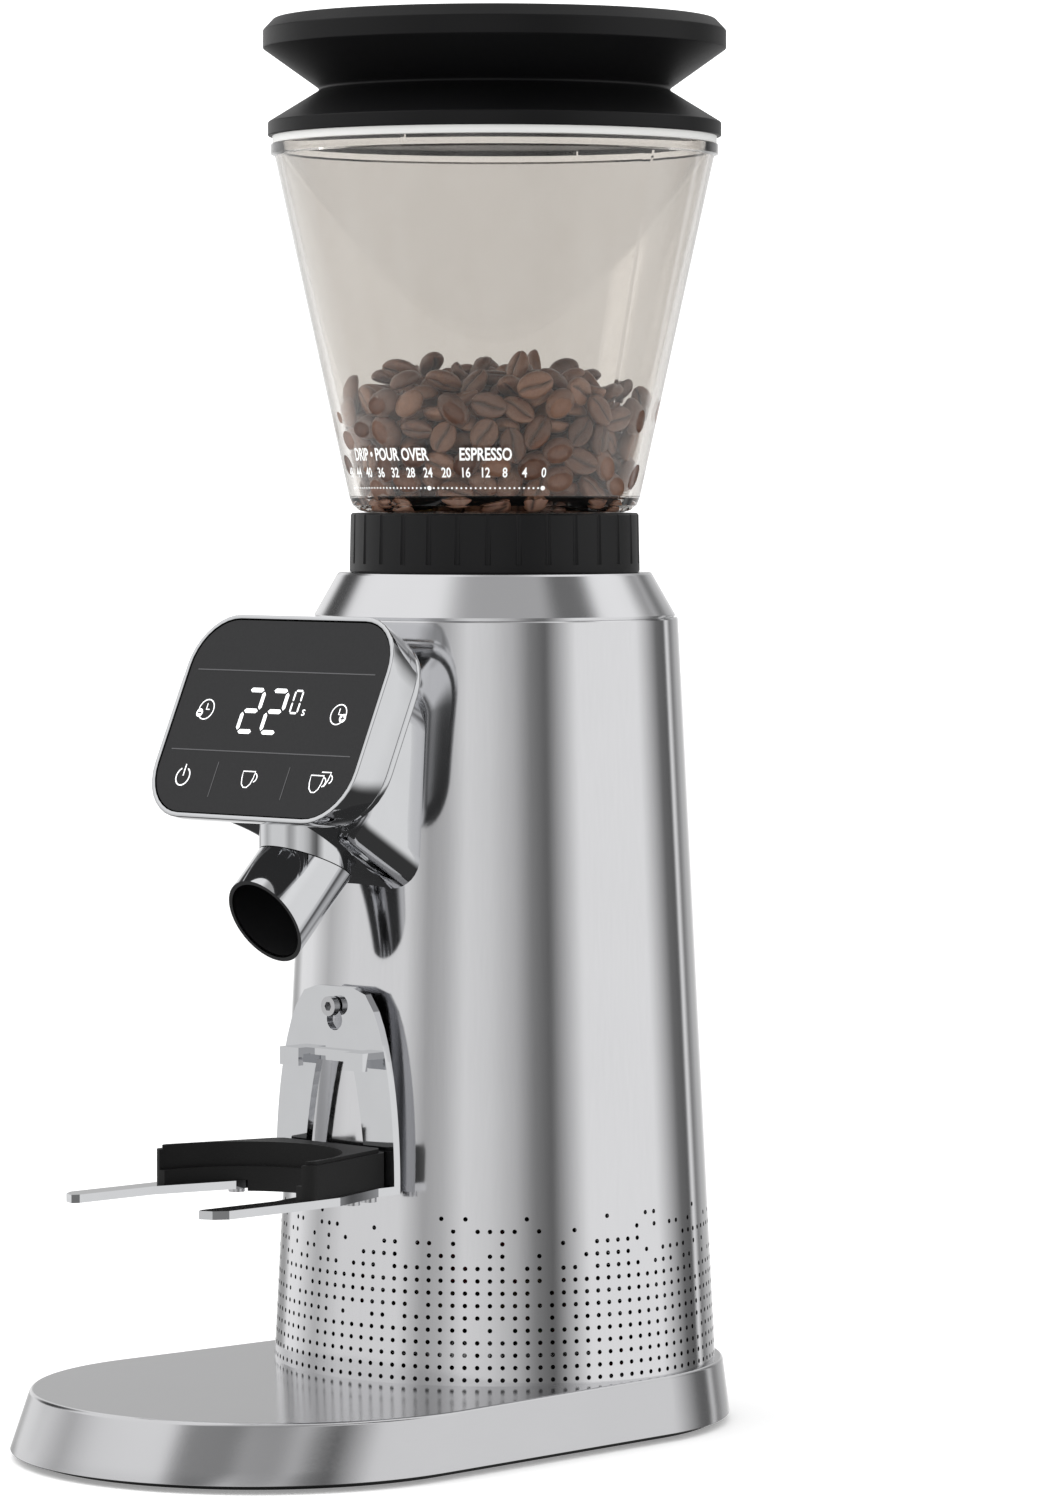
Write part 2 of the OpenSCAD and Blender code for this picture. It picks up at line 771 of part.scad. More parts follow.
hopper_seat = ring_top + 0.2;
hopper_top = hopper_seat + hopper_h;
hopper_foot_z = hopper_seat + 4.1;
hopper_slope = (hopper_top_r - hopper_foot_r) / (hopper_top - hopper_foot_z);
foot_out_r = seat_r - fit_gap;
foot_in_r = foot_out_r - 3;
foot_low = ring_top - seat_depth + fit_gap;

module hopper() {
    place() color([0.8, 0.78, 0.75, 0.4]) rotate_extrude() polygon([
        [hopper_top_r, hopper_top],
        [hopper_top_r, hopper_top - 2.6],
        [hopper_top_r - 0.5 - 2.6 * hopper_slope, hopper_top - 3.1],
        [hopper_foot_r, hopper_foot_z],
        [hopper_foot_r - 0.9, hopper_foot_z - 2.2],
        [hopper_foot_r - 2.6, hopper_foot_z - 3.6],
        [hopper_foot_r - 4.4, hopper_seat],
        [foot_out_r, hopper_seat],
        [foot_out_r, foot_low],
        [foot_in_r, foot_low],
        [foot_in_r, hopper_seat + 0.6],
        [foot_in_r + 2, hopper_seat + 2],
        [hopper_foot_r - hopper_wall - 0.8, hopper_foot_z + 0.6],
        [hopper_top_r - hopper_wall, hopper_top]]);
}

lid_low = hopper_top + 2.3;
lid_top = hopper_top + lid_h;
lid_flange_r = lid_rim_r - 1.3;
lid_waist_r = lid_rim_r - 15.6;
lid_waist_z = lid_low + 12.5;
lid_flange_h = 3.7;
lid_rim_h = 4.8;
lid_bevel = 3.1;
lid_bevel_w = 2.9;

module hopper_lid() {
    place() color("#151517") rotate_extrude() polygon([
        [0, lid_low],
        [lid_flange_r - 0.5, lid_low],
        [lid_flange_r, lid_low + 0.5],
        [lid_flange_r, lid_low + lid_flange_h - 0.4],
        [lid_flange_r - 0.6, lid_low + lid_flange_h],
        [lid_waist_r, lid_waist_z - 0.6],
        [lid_waist_r, lid_waist_z + 0.6],
        [lid_rim_r - 0.5, lid_top - lid_bevel - lid_rim_h - 0.4],
        [lid_rim_r, lid_top - lid_bevel - lid_rim_h],
        [lid_rim_r, lid_top - lid_bevel],
        [lid_rim_r - lid_bevel_w, lid_top],
        [0, lid_top]]);
}

plug_r = hopper_top_r - hopper_wall - 1.6;
plug_h = 3.2;

module lid_plug() {
    place() color("#1b1b1d") difference() {
        rod(plug_r, lid_low - plug_h, lid_low);
        rod(plug_r - 2.4, lid_low - plug_h - 1, lid_low - 2);
        round_copies(4, 20) translate([plug_r - 4, -0.8, lid_low - plug_h - 1]) cube([8, 1.6, plug_h - 1]);
    }
}

module lid_seal() {
    place() color("#d8d8d8") tube(hopper_top_r - 0.4, plug_r, hopper_top + 0.2, lid_low);
}

module hopper_switch() {
    place() color("#303030") translate([-5, chamber_r + fit_gap, tower_top - 14])
        cube([10, 4.4, 12]);
}

// ---- Arm and panel ----

panel_z = tower_top - panel_drop;

// Local frame of the panel: X to the right, Y up its face, Z out of its face.
module on_panel() {
    place() translate([0, -panel_reach, panel_z]) rotate([90 - panel_tilt, 0, 0]) children();
}

// A thin rounded plate at a depth behind the panel's face, between two heights.
module panel_plate(w, low, high, r, depth) {
    translate([0, (low + high) / 2, -depth]) linear_extrude(height = 0.05)
        rounded(w, high - low, r, $fn = facet_fn);
}

bezel_t = 1.5;
bezel_depth = 4;
glass_t = 2;
glass_set = 0.3;
housing_wall = 1.8;
housing_low = -panel_l / 2 + 4.1;
housing_high = panel_l / 2 - 1.5;
housing_back_w = panel_w - 2;
rear_t = 1.6;
arm_half_w = 20.5;
arm_corner = 9;
arm_high = panel_l / 2 - 9;
arm_low_front = -panel_l / 2 + 2.7;
arm_low_back = -panel_l / 2 - 1.4;
flare_depth = 27;
arm_depth = 62;
arm_wall = 2.2;

// Room for the neck and for the chute's socket on top of it.
module neck_way() {
    place() translate([0, -spout_reach, 0]) {
        rod(spout_r, elbow_z - 20, neck_top + 6);
        rod(socket_r + fit_gap, socket_low - 0.2, neck_top + 6);
    }
}

module panel_bezel() {
    on_panel() color("gainsboro") translate([0, 0, -bezel_depth]) linear_extrude(height = bezel_depth)
        difference() {
            rounded(panel_w, panel_l, panel_corner);
            rounded(panel_w - 2 * bezel_t, panel_l - 2 * bezel_t, panel_corner - bezel_t);
        }
}

module touch_glass() {
    on_panel() color("#1a1a1c") translate([0, 0, -glass_set - glass_t]) linear_extrude(height = glass_t)
        rounded(panel_w - 2 * bezel_t - 0.2, panel_l - 2 * bezel_t - 0.2, panel_corner - bezel_t - 0.1);
}

module display_board() {
    difference() {
        on_panel() {
            color("darkgreen") translate([0, 0, -6.6]) linear_extrude(height = 1.4) rounded(62, 42, 6);
            color("#202020") translate([0, 3, -5.3]) linear_extrude(height = 2.6) rounded(34, 20, 1);
        }
        place() translate([0, -spout_reach, 0]) rod(socket_r + fit_gap, elbow_z, neck_top + 5);
    }
}

module housing_form(wall) {
    hull() {
        panel_plate(panel_w - 2 * wall, -panel_l / 2 + wall, panel_l / 2 - wall,
            panel_corner - wall, bezel_depth + 0.05);
        panel_plate(housing_back_w - 2 * wall, housing_low + wall, housing_high - wall,
            panel_corner - wall, panel_depth);
    }
}

module panel_housing() {
    color("gainsboro") difference() {
        on_panel() housing_form(0);
        on_panel() {
            housing_form(housing_wall);
            translate([0, 0, -bezel_depth - 0.4]) linear_extrude(height = 1)
                rounded(panel_w - 2 * housing_wall, panel_l - 2 * housing_wall, panel_corner - housing_wall);
            translate([0, 0, -panel_depth - 0.5]) linear_extrude(height = 1)
                rounded(housing_back_w - 16, panel_l - 20, panel_corner - 5);
        }
        neck_way();
    }
}

module panel_rear_cover() {
    color("gainsboro") difference() {
        on_panel() translate([0, (housing_low + housing_high) / 2, -panel_depth - rear_t])
            linear_extrude(height = rear_t)
            rounded(housing_back_w - 0.6, housing_high - housing_low - 0.6, panel_corner - 0.3);
        on_panel() translate([0, -6, -panel_depth - rear_t - 1]) linear_extrude(height = rear_t + 2)
            rounded(2 * arm_half_w - 8, panel_l - 22, 6);
        neck_way();
    }
}

// Outer form of the arm: a flare behind the panel and a straight root.
module arm_form() {
    hull() {
        panel_plate(panel_w - 9, housing_low + 1, housing_high - 3, panel_corner - 2,
            panel_depth + rear_t + 0.05);
        panel_plate(2 * arm_half_w, arm_low_front, arm_high, arm_corner, flare_depth);
    }
    hull() {
        panel_plate(2 * arm_half_w - 0.1, arm_low_front + 0.1, arm_high - 0.1, arm_corner, flare_depth - 1);
        panel_plate(2 * arm_half_w, arm_low_back, arm_high - 0.1, arm_corner, arm_depth);
    }
}

// Space inside the arm, which opens into the panel housing and into the tower.
module arm_space() {
    inner_w = 2 * (arm_half_w - arm_wall);
    hull() {
        panel_plate(panel_w - 22, housing_low + 6, housing_high - 8, panel_corner - 6, panel_depth);
        panel_plate(inner_w, arm_low_front + arm_wall, arm_high - arm_wall,
            arm_corner - arm_wall, flare_depth + 0.4);
    }
    hull() {
        panel_plate(inner_w - 0.1, arm_low_front + arm_wall + 0.1, arm_high - arm_wall - 0.1,
            arm_corner - arm_wall, flare_depth - 1);
        panel_plate(inner_w, arm_low_back + arm_wall, arm_high - arm_wall - 0.1,
            arm_corner - arm_wall, arm_depth + 2);
    }
}

module arm_body() {
    color("gainsboro") difference() {
        on_panel() arm_form();
        on_panel() arm_space();
        place() translate([0, 0, base_h - 10])
            cylinder(r1 = tower_at(base_h - 10), r2 = tower_at(tower_top + 10), h = tower_h + 20);
        neck_way();
    }
}

// ---- Chute and spout ----

elbow_z = tower_top - spout_drop;
spout_angle = 45;
mouth_angle = 30;            // how far the mouth's face points below level
spout_in_r = spout_r - spout_wall;
chute_turn = 38;
chute_w = 16;
chute_wall = 1.6;
chute_inner_h = 10;
socket_r = spout_r + 1.4;
neck_top = elbow_z + 15;
socket_low = neck_top - 3.2;

// Frame along the sloping chute: its lower end is over the neck.
module on_chute() {
    translate([0, -spout_reach, neck_top + 1.5]) rotate([chute_turn, 0, 0]) children();
}

module chute_box(wall, low_end) {
    half_h = chute_inner_h / 2 + wall;
    translate([-chute_w / 2 - wall, low_end, -half_h])
        cube([chute_w + 2 * wall, 60, 2 * half_h]);
}

module chute() {
    place() color("#262628") difference() {
        union() {
            on_chute() chute_box(chute_wall, -9);
            translate([0, -spout_reach, 0]) rod(socket_r, socket_low, neck_top + 4);
        }
        on_chute() chute_box(0, -7);
        translate([0, -spout_reach, 0]) {
            rod(spout_r, elbow_z, neck_top);
            rod(spout_in_r - 1, neck_top - 1, neck_top + 6);
            translate([-socket_r, -socket_r, elbow_z])
                cube([2 * socket_r, 4 * socket_r, socket_low - elbow_z]);
        }
        rod(chamber_r + fit_gap, base_h, tower_top);
    }
}

// Half space below the elbow's mitre, for cutting both tubes on the same plane.
module below_mitre(shift = 0) {
    translate([0, -spout_reach, elbow_z + shift]) rotate([-spout_angle / 2, 0, 0])
        translate([-40, -40, -80]) cube([80, 80, 80]);
}

module spout_neck() {
    place() color("gainsboro") difference() {
        translate([0, -spout_reach, 0]) tube(spout_r, spout_in_r, elbow_z - 20, neck_top);
        below_mitre(0.15);
    }
}

module spout_tube() {
    place() color("gainsboro") difference() {
        intersection() {
            translate([0, -spout_reach, elbow_z]) rotate([90 + spout_angle, 0, 0])
                tube(spout_r, spout_in_r, -20, spout_l + 20);
            below_mitre(-0.15);
        }
        translate([0, -spout_reach - spout_l * cos(spout_angle), elbow_z - spout_l * sin(spout_angle)])
            rotate([90 + mouth_angle, 0, 0]) translate([-40, -40, 0]) cube([80, 80, 80]);
    }
}

loom_x = 12.5;               // beside the chute
loom_at = 49.3;              // radius of the loom's run, between the gearbox and the tower shell

// Loom from the display board down to the power board.
module display_cable() {
    run_y = -loom_at * sin(45);
    run_x = loom_at * cos(45);
    place() color("#8a3030") wire([[loom_x, -77.1, panel_z - 2.8], [loom_x, -66, panel_z - 8],
        [loom_x, -56, panel_z - 14], [loom_x, -46, panel_z - 18], [run_x, run_y, panel_z - 21],
        [run_x, run_y, 60], [29, -20, board_z + 12], [29, -18, board_z + board_t]], lead_r);
}

// ---- Filter holder ----

fork_z = base_h + fork_rise;             // upper face of the fork
hook_z = fork_z + hook_rise;
hook_thread_r = 1.8;
hook_shank_r = 1.6;
hook_head_r = 2.6;
keyhole_drop = 3.6;
keyhole_r = hook_head_r + fit_gap;
plate_back = tower_at(fork_z - sheet_t) + free_gap;
plate_front = plate_back + sheet_t;
plate_top_half_w = 6.6;
leg_w = 10.8;
leg_widen = 2;                // how much wider a leg is at the window's top
leg_half_w = 22.6;
arm_root_w = 5.6;
window_top = hook_z - 14.6;
plate_top = hook_z + 5.2;
shelf_z = window_top + 1.4;
shelf_reach = 5;
tab_half_w = 3.6;
tab_at = 12.2;

module holder_screw() {
    place() color("gainsboro") translate([0, 0, hook_z]) rotate([90, 0, 0]) difference() {
        union() {
            rod(hook_thread_r, plate_back - 7, plate_back - free_gap / 2);
            rod(hook_shank_r, plate_back - free_gap, plate_front + 1.6);
            rod(hook_head_r, plate_front + 0.5, plate_front + 2.4);
        }
        translate([0, 0, plate_front + 1.2]) cylinder(r = 1.3, h = 3, $fn = 6);
    }
}

// Half width of the bracket's outline at a height: it widens downwards along an ellipse.
function leg_at(z) =
    let (drop = (plate_top - z) / (plate_top - fork_z))
    plate_top_half_w + 1.4 + (leg_half_w - plate_top_half_w - 1.4) * sqrt(1 - pow(1 - min(1, drop), 2));

module bracket_outline() {
    steps = [for (i = [0 : 12]) fork_z - sheet_t + (plate_top - 1.6 - fork_z + sheet_t) * i / 12];
    polygon(concat(
        [for (z = steps) [leg_at(z), z]],
        [[plate_top_half_w, plate_top], [-plate_top_half_w, plate_top]],
        [for (i = [12 : -1 : 0]) [-leg_at(steps[i]), steps[i]]]));
}

// Half the width of the window between the legs at height z.
function window_at(z) = leg_at(z) - leg_w - leg_widen * max(0, z - fork_z) / (window_top - fork_z);

module bracket_window() {
    steps = [for (i = [0 : 10]) fork_z - sheet_t - 1 + (window_top - fork_z + sheet_t + 1) * i / 10];
    polygon(concat(
        [for (z = steps) [window_at(z), z]],
        [for (i = [10 : -1 : 0]) [-window_at(steps[i]), steps[i]]]));
}

// Plan of one fork arm, from the bracket to its tip.
module fork_arm() {
    tip_y = -plate_back - fork_l;
    inner = fork_half_gap;
    outer = fork_half_gap + fork_arm_w;
    polygon([[leg_half_w - arm_root_w, -plate_back], [leg_half_w, -plate_back],
        [leg_half_w, -plate_back - 8], [leg_half_w + 3.2, -plate_back - 17],
        [outer - 0.4, -plate_back - 29], [outer, -plate_back - 40],
        [outer, tip_y + 5], [outer - 2.4, tip_y + 1.4], [inner + 1, tip_y],
        [inner, tip_y + 2], [inner, -plate_back - 46], [inner - 2.6, -plate_back - 36],
        [leg_half_w - arm_root_w, -plate_back - 22]]);
}

module holder_bracket() {
    place() color("gainsboro") {
        difference() {
            translate([0, -plate_back, 0]) rotate([90, 0, 0]) linear_extrude(height = sheet_t)
                difference() {
                    bracket_outline();
                    bracket_window();
                }
            translate([0, 0, hook_z]) rotate([90, 0, 0])
                rod(hook_shank_r + 0.1, plate_back - 1, plate_front + 1);
            translate([0, 0, hook_z - keyhole_drop]) rotate([90, 0, 0])
                rod(keyhole_r, plate_back - 1, plate_front + 1);
            translate([-hook_shank_r - 0.1, -plate_front - 1, hook_z - keyhole_drop])
                cube([2 * hook_shank_r + 0.2, sheet_t + 2, keyhole_drop]);
        }
        for (side = [0, 1]) mirror([side, 0, 0])
            translate([0, 0, fork_z - sheet_t]) linear_extrude(height = sheet_t) fork_arm();
        difference() {
            translate([-tab_at - tab_half_w, -plate_front - shelf_reach, shelf_z])
                cube([2 * (tab_at + tab_half_w), shelf_reach + sheet_t / 2, sheet_t * 0.8]);
            translate([-tab_at + tab_half_w, -plate_front - shelf_reach - 1, shelf_z - 1])
                cube([2 * (tab_at - tab_half_w), shelf_reach - 1, sheet_t + 2]);
        }
        for (side = [-1, 1])
            translate([side * tab_at - tab_half_w, -plate_front - shelf_reach, shelf_z - 3])
                cube([2 * tab_half_w, sheet_t * 0.8, 3.1]);
    }
}

pad_half_w = 30;
pad_rear_half_w = 21;
pad_front = plate_front + 38;
pad_back = plate_front + fit_gap;
pad_corner = 3;
ledge_z = fork_z + 3.6;
cradle_y = plate_front + 35;
pad_screw_points = [[20, 7], [22, 15]];

// The pad's plan, wider in front and drawn in by an inset at its edge.
module pad_plan(inset) {
    front = pad_half_w - inset;
    rear = pad_rear_half_w - inset;
    corner = [for (a = [0 : 15 : 90])
        [front - pad_corner * (1 - cos(a)), -pad_front + inset + pad_corner * (1 - sin(a))]];
    half = concat([[rear - 2, -pad_back - inset], [rear, -pad_back - inset - 2]], corner);
    polygon(concat(half, [for (i = [len(half) - 1 : -1 : 0]) [-half[i][0], half[i][1]]]));
}

module fork_pad() {
    place() color("#1f1f21") difference() {
        union() {
            translate([0, 0, fork_z]) linear_extrude(height = pad_t - 1) pad_plan(0);
            translate([0, 0, fork_z + pad_t - 1 - eps]) linear_extrude(height = 1) pad_plan(1);
            translate([-leg_half_w + arm_root_w + fit_gap, -pad_front, fork_z - sheet_t - 0.8])
                cube([2 * (leg_half_w - arm_root_w - fit_gap), pad_front - pad_back, sheet_t + 1]);
        }
        translate([0, -cradle_y, 0]) {
            rod(basket_r, ledge_z, fork_z + pad_t + 1);
            rod(basket_r - 2, fork_z - sheet_t - 2, ledge_z + 1);
        }
        for (p = pad_screw_points, side = [-1, 1])
            translate([side * p[0], -plate_front - p[1], 0]) rod(1.2, fork_z - 1, fork_z + 5);
    }
}

// Screws that hold the pad from below, through the fork arms.
module pad_screws() {
    place() color("dimgray") for (p = pad_screw_points, side = [-1, 1])
        translate([side * p[0], -plate_front - p[1], 0]) {
            rod(1.2, fork_z, fork_z + 5);
            rod(2.2, fork_z - sheet_t - 1.4, fork_z - sheet_t);
        }
}

base_shell();
base_cover();
rubber_feet();
base_screws();
base_weight();
chassis();
chassis_screws();
tower_shell();
top_collar();
cord_gland();
power_board();
board_components();
motor_leads();
motor_case();
motor_endcap();
motor_magnets();
motor_bearings();
motor_mount_ring();
motor_rotor();
motor_shaft();
motor_pinion();
gearbox_base();
gearbox_cover();
gearbox_screws();
gear_axle();
compound_gear();
output_gear();
burr_shaft();
shaft_bearings();
shaft_circlip();
shaft_seal();
chamber_standoffs();
grind_chamber();
chamber_screws();
sweeper();
cone_burr();
burr_bolt();
ring_burr();
ring_burr_screws();
burr_carrier();
grip_ring();
hopper();
hopper_lid();
lid_plug();
lid_seal();
hopper_switch();
chute();
arm_body();
panel_housing();
panel_rear_cover();
panel_bezel();
touch_glass();
display_board();
display_cable();
spout_neck();
spout_tube();
holder_screw();
holder_bracket();
fork_pad();
pad_screws();
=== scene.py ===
import bpy
import bmesh
import json
import math
import numpy as np
from mathutils import Matrix, Vector

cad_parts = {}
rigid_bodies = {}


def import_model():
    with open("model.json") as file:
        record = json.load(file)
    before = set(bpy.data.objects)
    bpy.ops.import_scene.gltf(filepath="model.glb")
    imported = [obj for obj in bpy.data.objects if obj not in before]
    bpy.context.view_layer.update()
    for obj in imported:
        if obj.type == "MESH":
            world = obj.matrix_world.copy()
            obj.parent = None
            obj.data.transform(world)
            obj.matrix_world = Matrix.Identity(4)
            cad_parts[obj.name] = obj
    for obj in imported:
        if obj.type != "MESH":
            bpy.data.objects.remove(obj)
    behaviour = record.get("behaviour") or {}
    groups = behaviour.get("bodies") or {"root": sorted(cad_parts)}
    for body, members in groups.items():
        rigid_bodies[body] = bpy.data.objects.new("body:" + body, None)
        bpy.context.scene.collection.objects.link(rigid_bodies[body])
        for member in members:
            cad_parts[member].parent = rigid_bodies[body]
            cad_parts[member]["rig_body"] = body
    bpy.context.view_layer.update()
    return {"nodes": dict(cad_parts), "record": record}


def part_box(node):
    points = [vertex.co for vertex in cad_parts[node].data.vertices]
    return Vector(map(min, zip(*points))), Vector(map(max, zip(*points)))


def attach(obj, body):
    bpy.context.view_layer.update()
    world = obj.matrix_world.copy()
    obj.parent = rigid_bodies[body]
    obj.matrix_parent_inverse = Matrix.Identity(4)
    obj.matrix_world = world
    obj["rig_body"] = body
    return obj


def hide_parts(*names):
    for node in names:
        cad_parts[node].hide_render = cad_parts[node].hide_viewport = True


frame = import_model()
nodes = frame["nodes"]
scene = bpy.context.scene
mm = 0.001
print("frame loaded,", len(nodes), "nodes")


# ---- places, from the frame, with the tower's top radius given ----

def middle(node):
    low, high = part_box(node)
    return (low + high) / 2


def low(node):
    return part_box(node)[0] / mm


def high(node):
    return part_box(node)[1] / mm


axisY = middle("top_collar").y / mm          # the tower's own axis stands behind the origin
towerLow = low("tower_shell").z
towerHigh = high("tower_shell").z
towerFootR = high("tower_shell").x
towerTopR = 49.7
towerSlope = (towerFootR - towerTopR) / (towerHigh - towerLow)


def towerRadius(z):
    return towerFootR - towerSlope * (z - towerLow)


def aroundAxis(radius, turn, z):
    # turn is in degrees from the front towards +X
    angle = math.radians(turn)
    return Vector((radius * math.sin(angle), axisY - radius * math.cos(angle), z)) * mm


# ---- shader helpers ----

class Value:
    # one socket, so that sums on it read as sums
    def __init__(self, recipe, socket):
        self.recipe = recipe
        self.socket = socket

    def maths(self, operation, *others):
        inputs = {index + 1: other for index, other in enumerate(others)}
        return self.recipe.add("Math", {"operation": operation}, {0: self, **inputs})

    def __add__(self, other):
        return self.maths("ADD", other)

    def __sub__(self, other):
        return self.maths("SUBTRACT", other)

    def __mul__(self, other):
        return self.maths("MULTIPLY", other)

    def __truediv__(self, other):
        return self.maths("DIVIDE", other)

    def __pow__(self, other):
        return self.maths("POWER", other)

    __radd__ = __add__
    __rmul__ = __mul__

    def __rsub__(self, other):
        return self.recipe.add("Math", {"operation": "SUBTRACT"}, {0: other, 1: self})

    def __rtruediv__(self, other):
        return self.recipe.add("Math", {"operation": "DIVIDE"}, {0: other, 1: self})

    def other(self, name):
        return Value(self.recipe, self.socket.node.outputs[name])


class Recipe:
    # one material or world, built node by node
    def __init__(self, owner):
        owner.use_nodes = True
        self.owner = owner
        self.tree = owner.node_tree
        self.tree.nodes.clear()

    def add(self, kind, settings=None, inputs=None, output=0):
        node = self.tree.nodes.new("ShaderNode" + kind)
        for name, value in (settings or {}).items():
            if name == "stops":
                self.setStops(node.color_ramp, value)
            else:
                setattr(node, name, value)
        for name, value in (inputs or {}).items():
            if isinstance(value, Value):
                self.tree.links.new(value.socket, node.inputs[name])
            else:
                node.inputs[name].default_value = value
        return Value(self, node.outputs[output]) if len(node.outputs) else node

    def setStops(self, ramp, stops):
        while len(ramp.elements) < len(stops):
            ramp.elements.new(1.0)
        for element, (place, colour) in zip(ramp.elements, stops):
            element.position = place
            element.color = (*colour, 1.0)

    def place(self, stretch=(1, 1, 1)):
        spot = self.add("TexCoord", output="Object")
        return self.add("VectorMath", {"operation": "MULTIPLY"}, {0: spot, 1: stretch})

    def noise(self, size, stretch=(1, 1, 1), detail=3.0, roughness=0.5):
        # size is the size of one blotch in millimetres
        return self.add("TexNoise", {}, {"Vector": self.place(stretch), "Scale": 1 / (size * mm),
                                         "Detail": detail, "Roughness": roughness})

    def blend(self, share, first, second):
        return self.add("Mix", {"data_type": "RGBA"}, {"Factor": share, 6: first, 7: second}, output=2)

    def bump(self, height, depth, strength=1.0):
        # depth is the height of the relief in millimetres
        return self.add("Bump", {}, {"Height": height, "Distance": depth * mm, "Strength": strength})

    def surface(self, **inputs):
        names = {name: name.replace("_", " ") for name in inputs}
        shader = self.add("BsdfPrincipled", {}, {names[name]: value for name, value in inputs.items()})
        self.add("OutputMaterial", {}, {"Surface": shader})
        return self.owner


def newRecipe(name):
    return Recipe(bpy.data.materials.new(name))


def rgb(red, green, blue):
    # screen colours from 0 to 255 as linear light
    def linear(part):
        part = part / 255
        return part / 12.92 if part <= 0.04045 else ((part + 0.055) / 1.055) ** 2.4
    return (linear(red), linear(green), linear(blue), 1.0)


# ---- finishes ----

def metalFinish(name, colour, roughness, stretch=(1, 1, 1), grain=1.2, relief=0.004, cloud=0.12):
    recipe = newRecipe(name)
    fine = recipe.noise(grain, stretch, 4)
    broad = recipe.noise(34, (1, 1, 1), 2)
    darker = tuple(part * 0.9 for part in colour[:3]) + (1.0,)
    return recipe.surface(
        Base_Color=recipe.blend(fine * 0.5 + broad * 0.5, darker, colour),
        Metallic=1.0,
        Roughness=(fine - 0.5) * roughness * 0.5 + (broad - 0.5) * cloud * roughness + roughness,
        Normal=recipe.bump(fine, relief))


def plasticFinish(name, colour, roughness, grain=0.35, relief=0.02, lighter=1.5, gloss=0.22):
    recipe = newRecipe(name)
    fine = recipe.noise(grain, (1, 1, 1), 2)
    broad = recipe.noise(22, (1, 1, 1), 3)
    worn = tuple(min(1, part * lighter) for part in colour[:3]) + (1.0,)
    return recipe.surface(
        Base_Color=recipe.blend(broad * 0.6 + fine * 0.4, colour, worn),
        Roughness=(broad - 0.5) * 0.14 + (fine - 0.5) * 0.1 + roughness,
        Specular_IOR_Level=gloss,
        Normal=recipe.bump(fine, relief))


def smokeFinish():
    # clear smoke tinted plastic, with faint handling marks
    recipe = newRecipe("smokeClear")
    marks = recipe.noise(9, (1, 1, 0.4), 4)
    return recipe.surface(
        Base_Color=recipe.blend(marks, rgb(222, 218, 213), rgb(228, 225, 221)),
        Roughness=marks ** 4 * 0.12,
        Transmission_Weight=1.0,
        IOR=1.49)


def glassPanelFinish():
    recipe = newRecipe("panelGlass")
    dust = recipe.noise(0.8, (1, 1, 1), 4)
    smear = recipe.noise(18, (1, 0.5, 1), 3)
    return recipe.surface(
        Base_Color=recipe.blend(dust, rgb(40, 40, 41), rgb(46, 46, 47)),
        Roughness=smear * 0.1 + 0.32,
        Specular_IOR_Level=0.12)


def markFinish(name, colour, glow):
    recipe = newRecipe(name)
    ink = recipe.noise(0.25, (1, 1, 1), 2)
    faded = tuple(part * 0.86 for part in colour[:3]) + (1.0,)
    tone = recipe.blend(ink, faded, colour)
    return recipe.surface(Base_Color=tone, Roughness=ink * 0.2 + 0.45, Emission_Color=tone,
                          Emission_Strength=glow)


def beanFinish():
    recipe = newRecipe("roastedBean")
    tone = recipe.add("Attribute", {"attribute_name": "roast"}, output="Fac")
    seam = recipe.add("Attribute", {"attribute_name": "seam"}, output="Fac")
    mottle = recipe.noise(1.6, (1, 1, 1), 4, 0.6)
    skin = recipe.noise(0.5, (1, 1, 1), 3)
    roast = recipe.add("ValToRGB", {"stops": [
        (0.0, rgb(82, 52, 40)[:3]), (0.45, rgb(132, 92, 72)[:3]), (0.8, rgb(180, 134, 108)[:3]),
        (1.0, rgb(216, 170, 140)[:3])]}, {"Fac": tone * 0.62 + mottle * 0.4})
    # the seam groove is blended toward a dark brown: painted shade in the bean's crease
    return recipe.surface(
        Base_Color=recipe.blend(seam * 0.9, roast, rgb(48, 30, 22)),
        Roughness=mottle * 0.3 + 0.18,
        Specular_IOR_Level=0.8,
        Normal=recipe.bump(mottle * 0.7 + skin * 0.3, 0.18))


def boardFinish():
    recipe = newRecipe("circuitBoard")
    tracks = recipe.add("TexBrick", {}, {"Vector": recipe.place(), "Scale": 320.0,
                                         "Mortar Size": 0.03, "Color1": rgb(20, 74, 44),
                                         "Color2": rgb(24, 82, 50), "Mortar": rgb(60, 120, 70)})
    grain = recipe.noise(0.6)
    return recipe.surface(Base_Color=tracks, Roughness=grain * 0.2 + 0.35,
                          Normal=recipe.bump(grain, 0.01))


def componentFinish():
    recipe = newRecipe("components")
    cells = recipe.add("TexVoronoi", {}, {"Vector": recipe.place(), "Scale": 70.0}, output="Color")
    grain = recipe.noise(0.5)
    colour = recipe.blend(cells, rgb(26, 26, 28), rgb(120, 104, 60))
    return recipe.surface(Base_Color=colour, Roughness=grain * 0.3 + 0.35,
                          Normal=recipe.bump(grain, 0.01))


def windingFinish():
    recipe = newRecipe("copperWinding")
    turns = recipe.add("TexWave", {"bands_direction": "Z"}, {"Vector": recipe.place(),
                                                            "Scale": 420.0, "Distortion": 0.4})
    return recipe.surface(Base_Color=recipe.blend(turns, rgb(108, 52, 28), rgb(198, 120, 72)),
                          Metallic=1.0, Roughness=turns * 0.2 + 0.25,
                          Normal=recipe.bump(turns, 0.08))


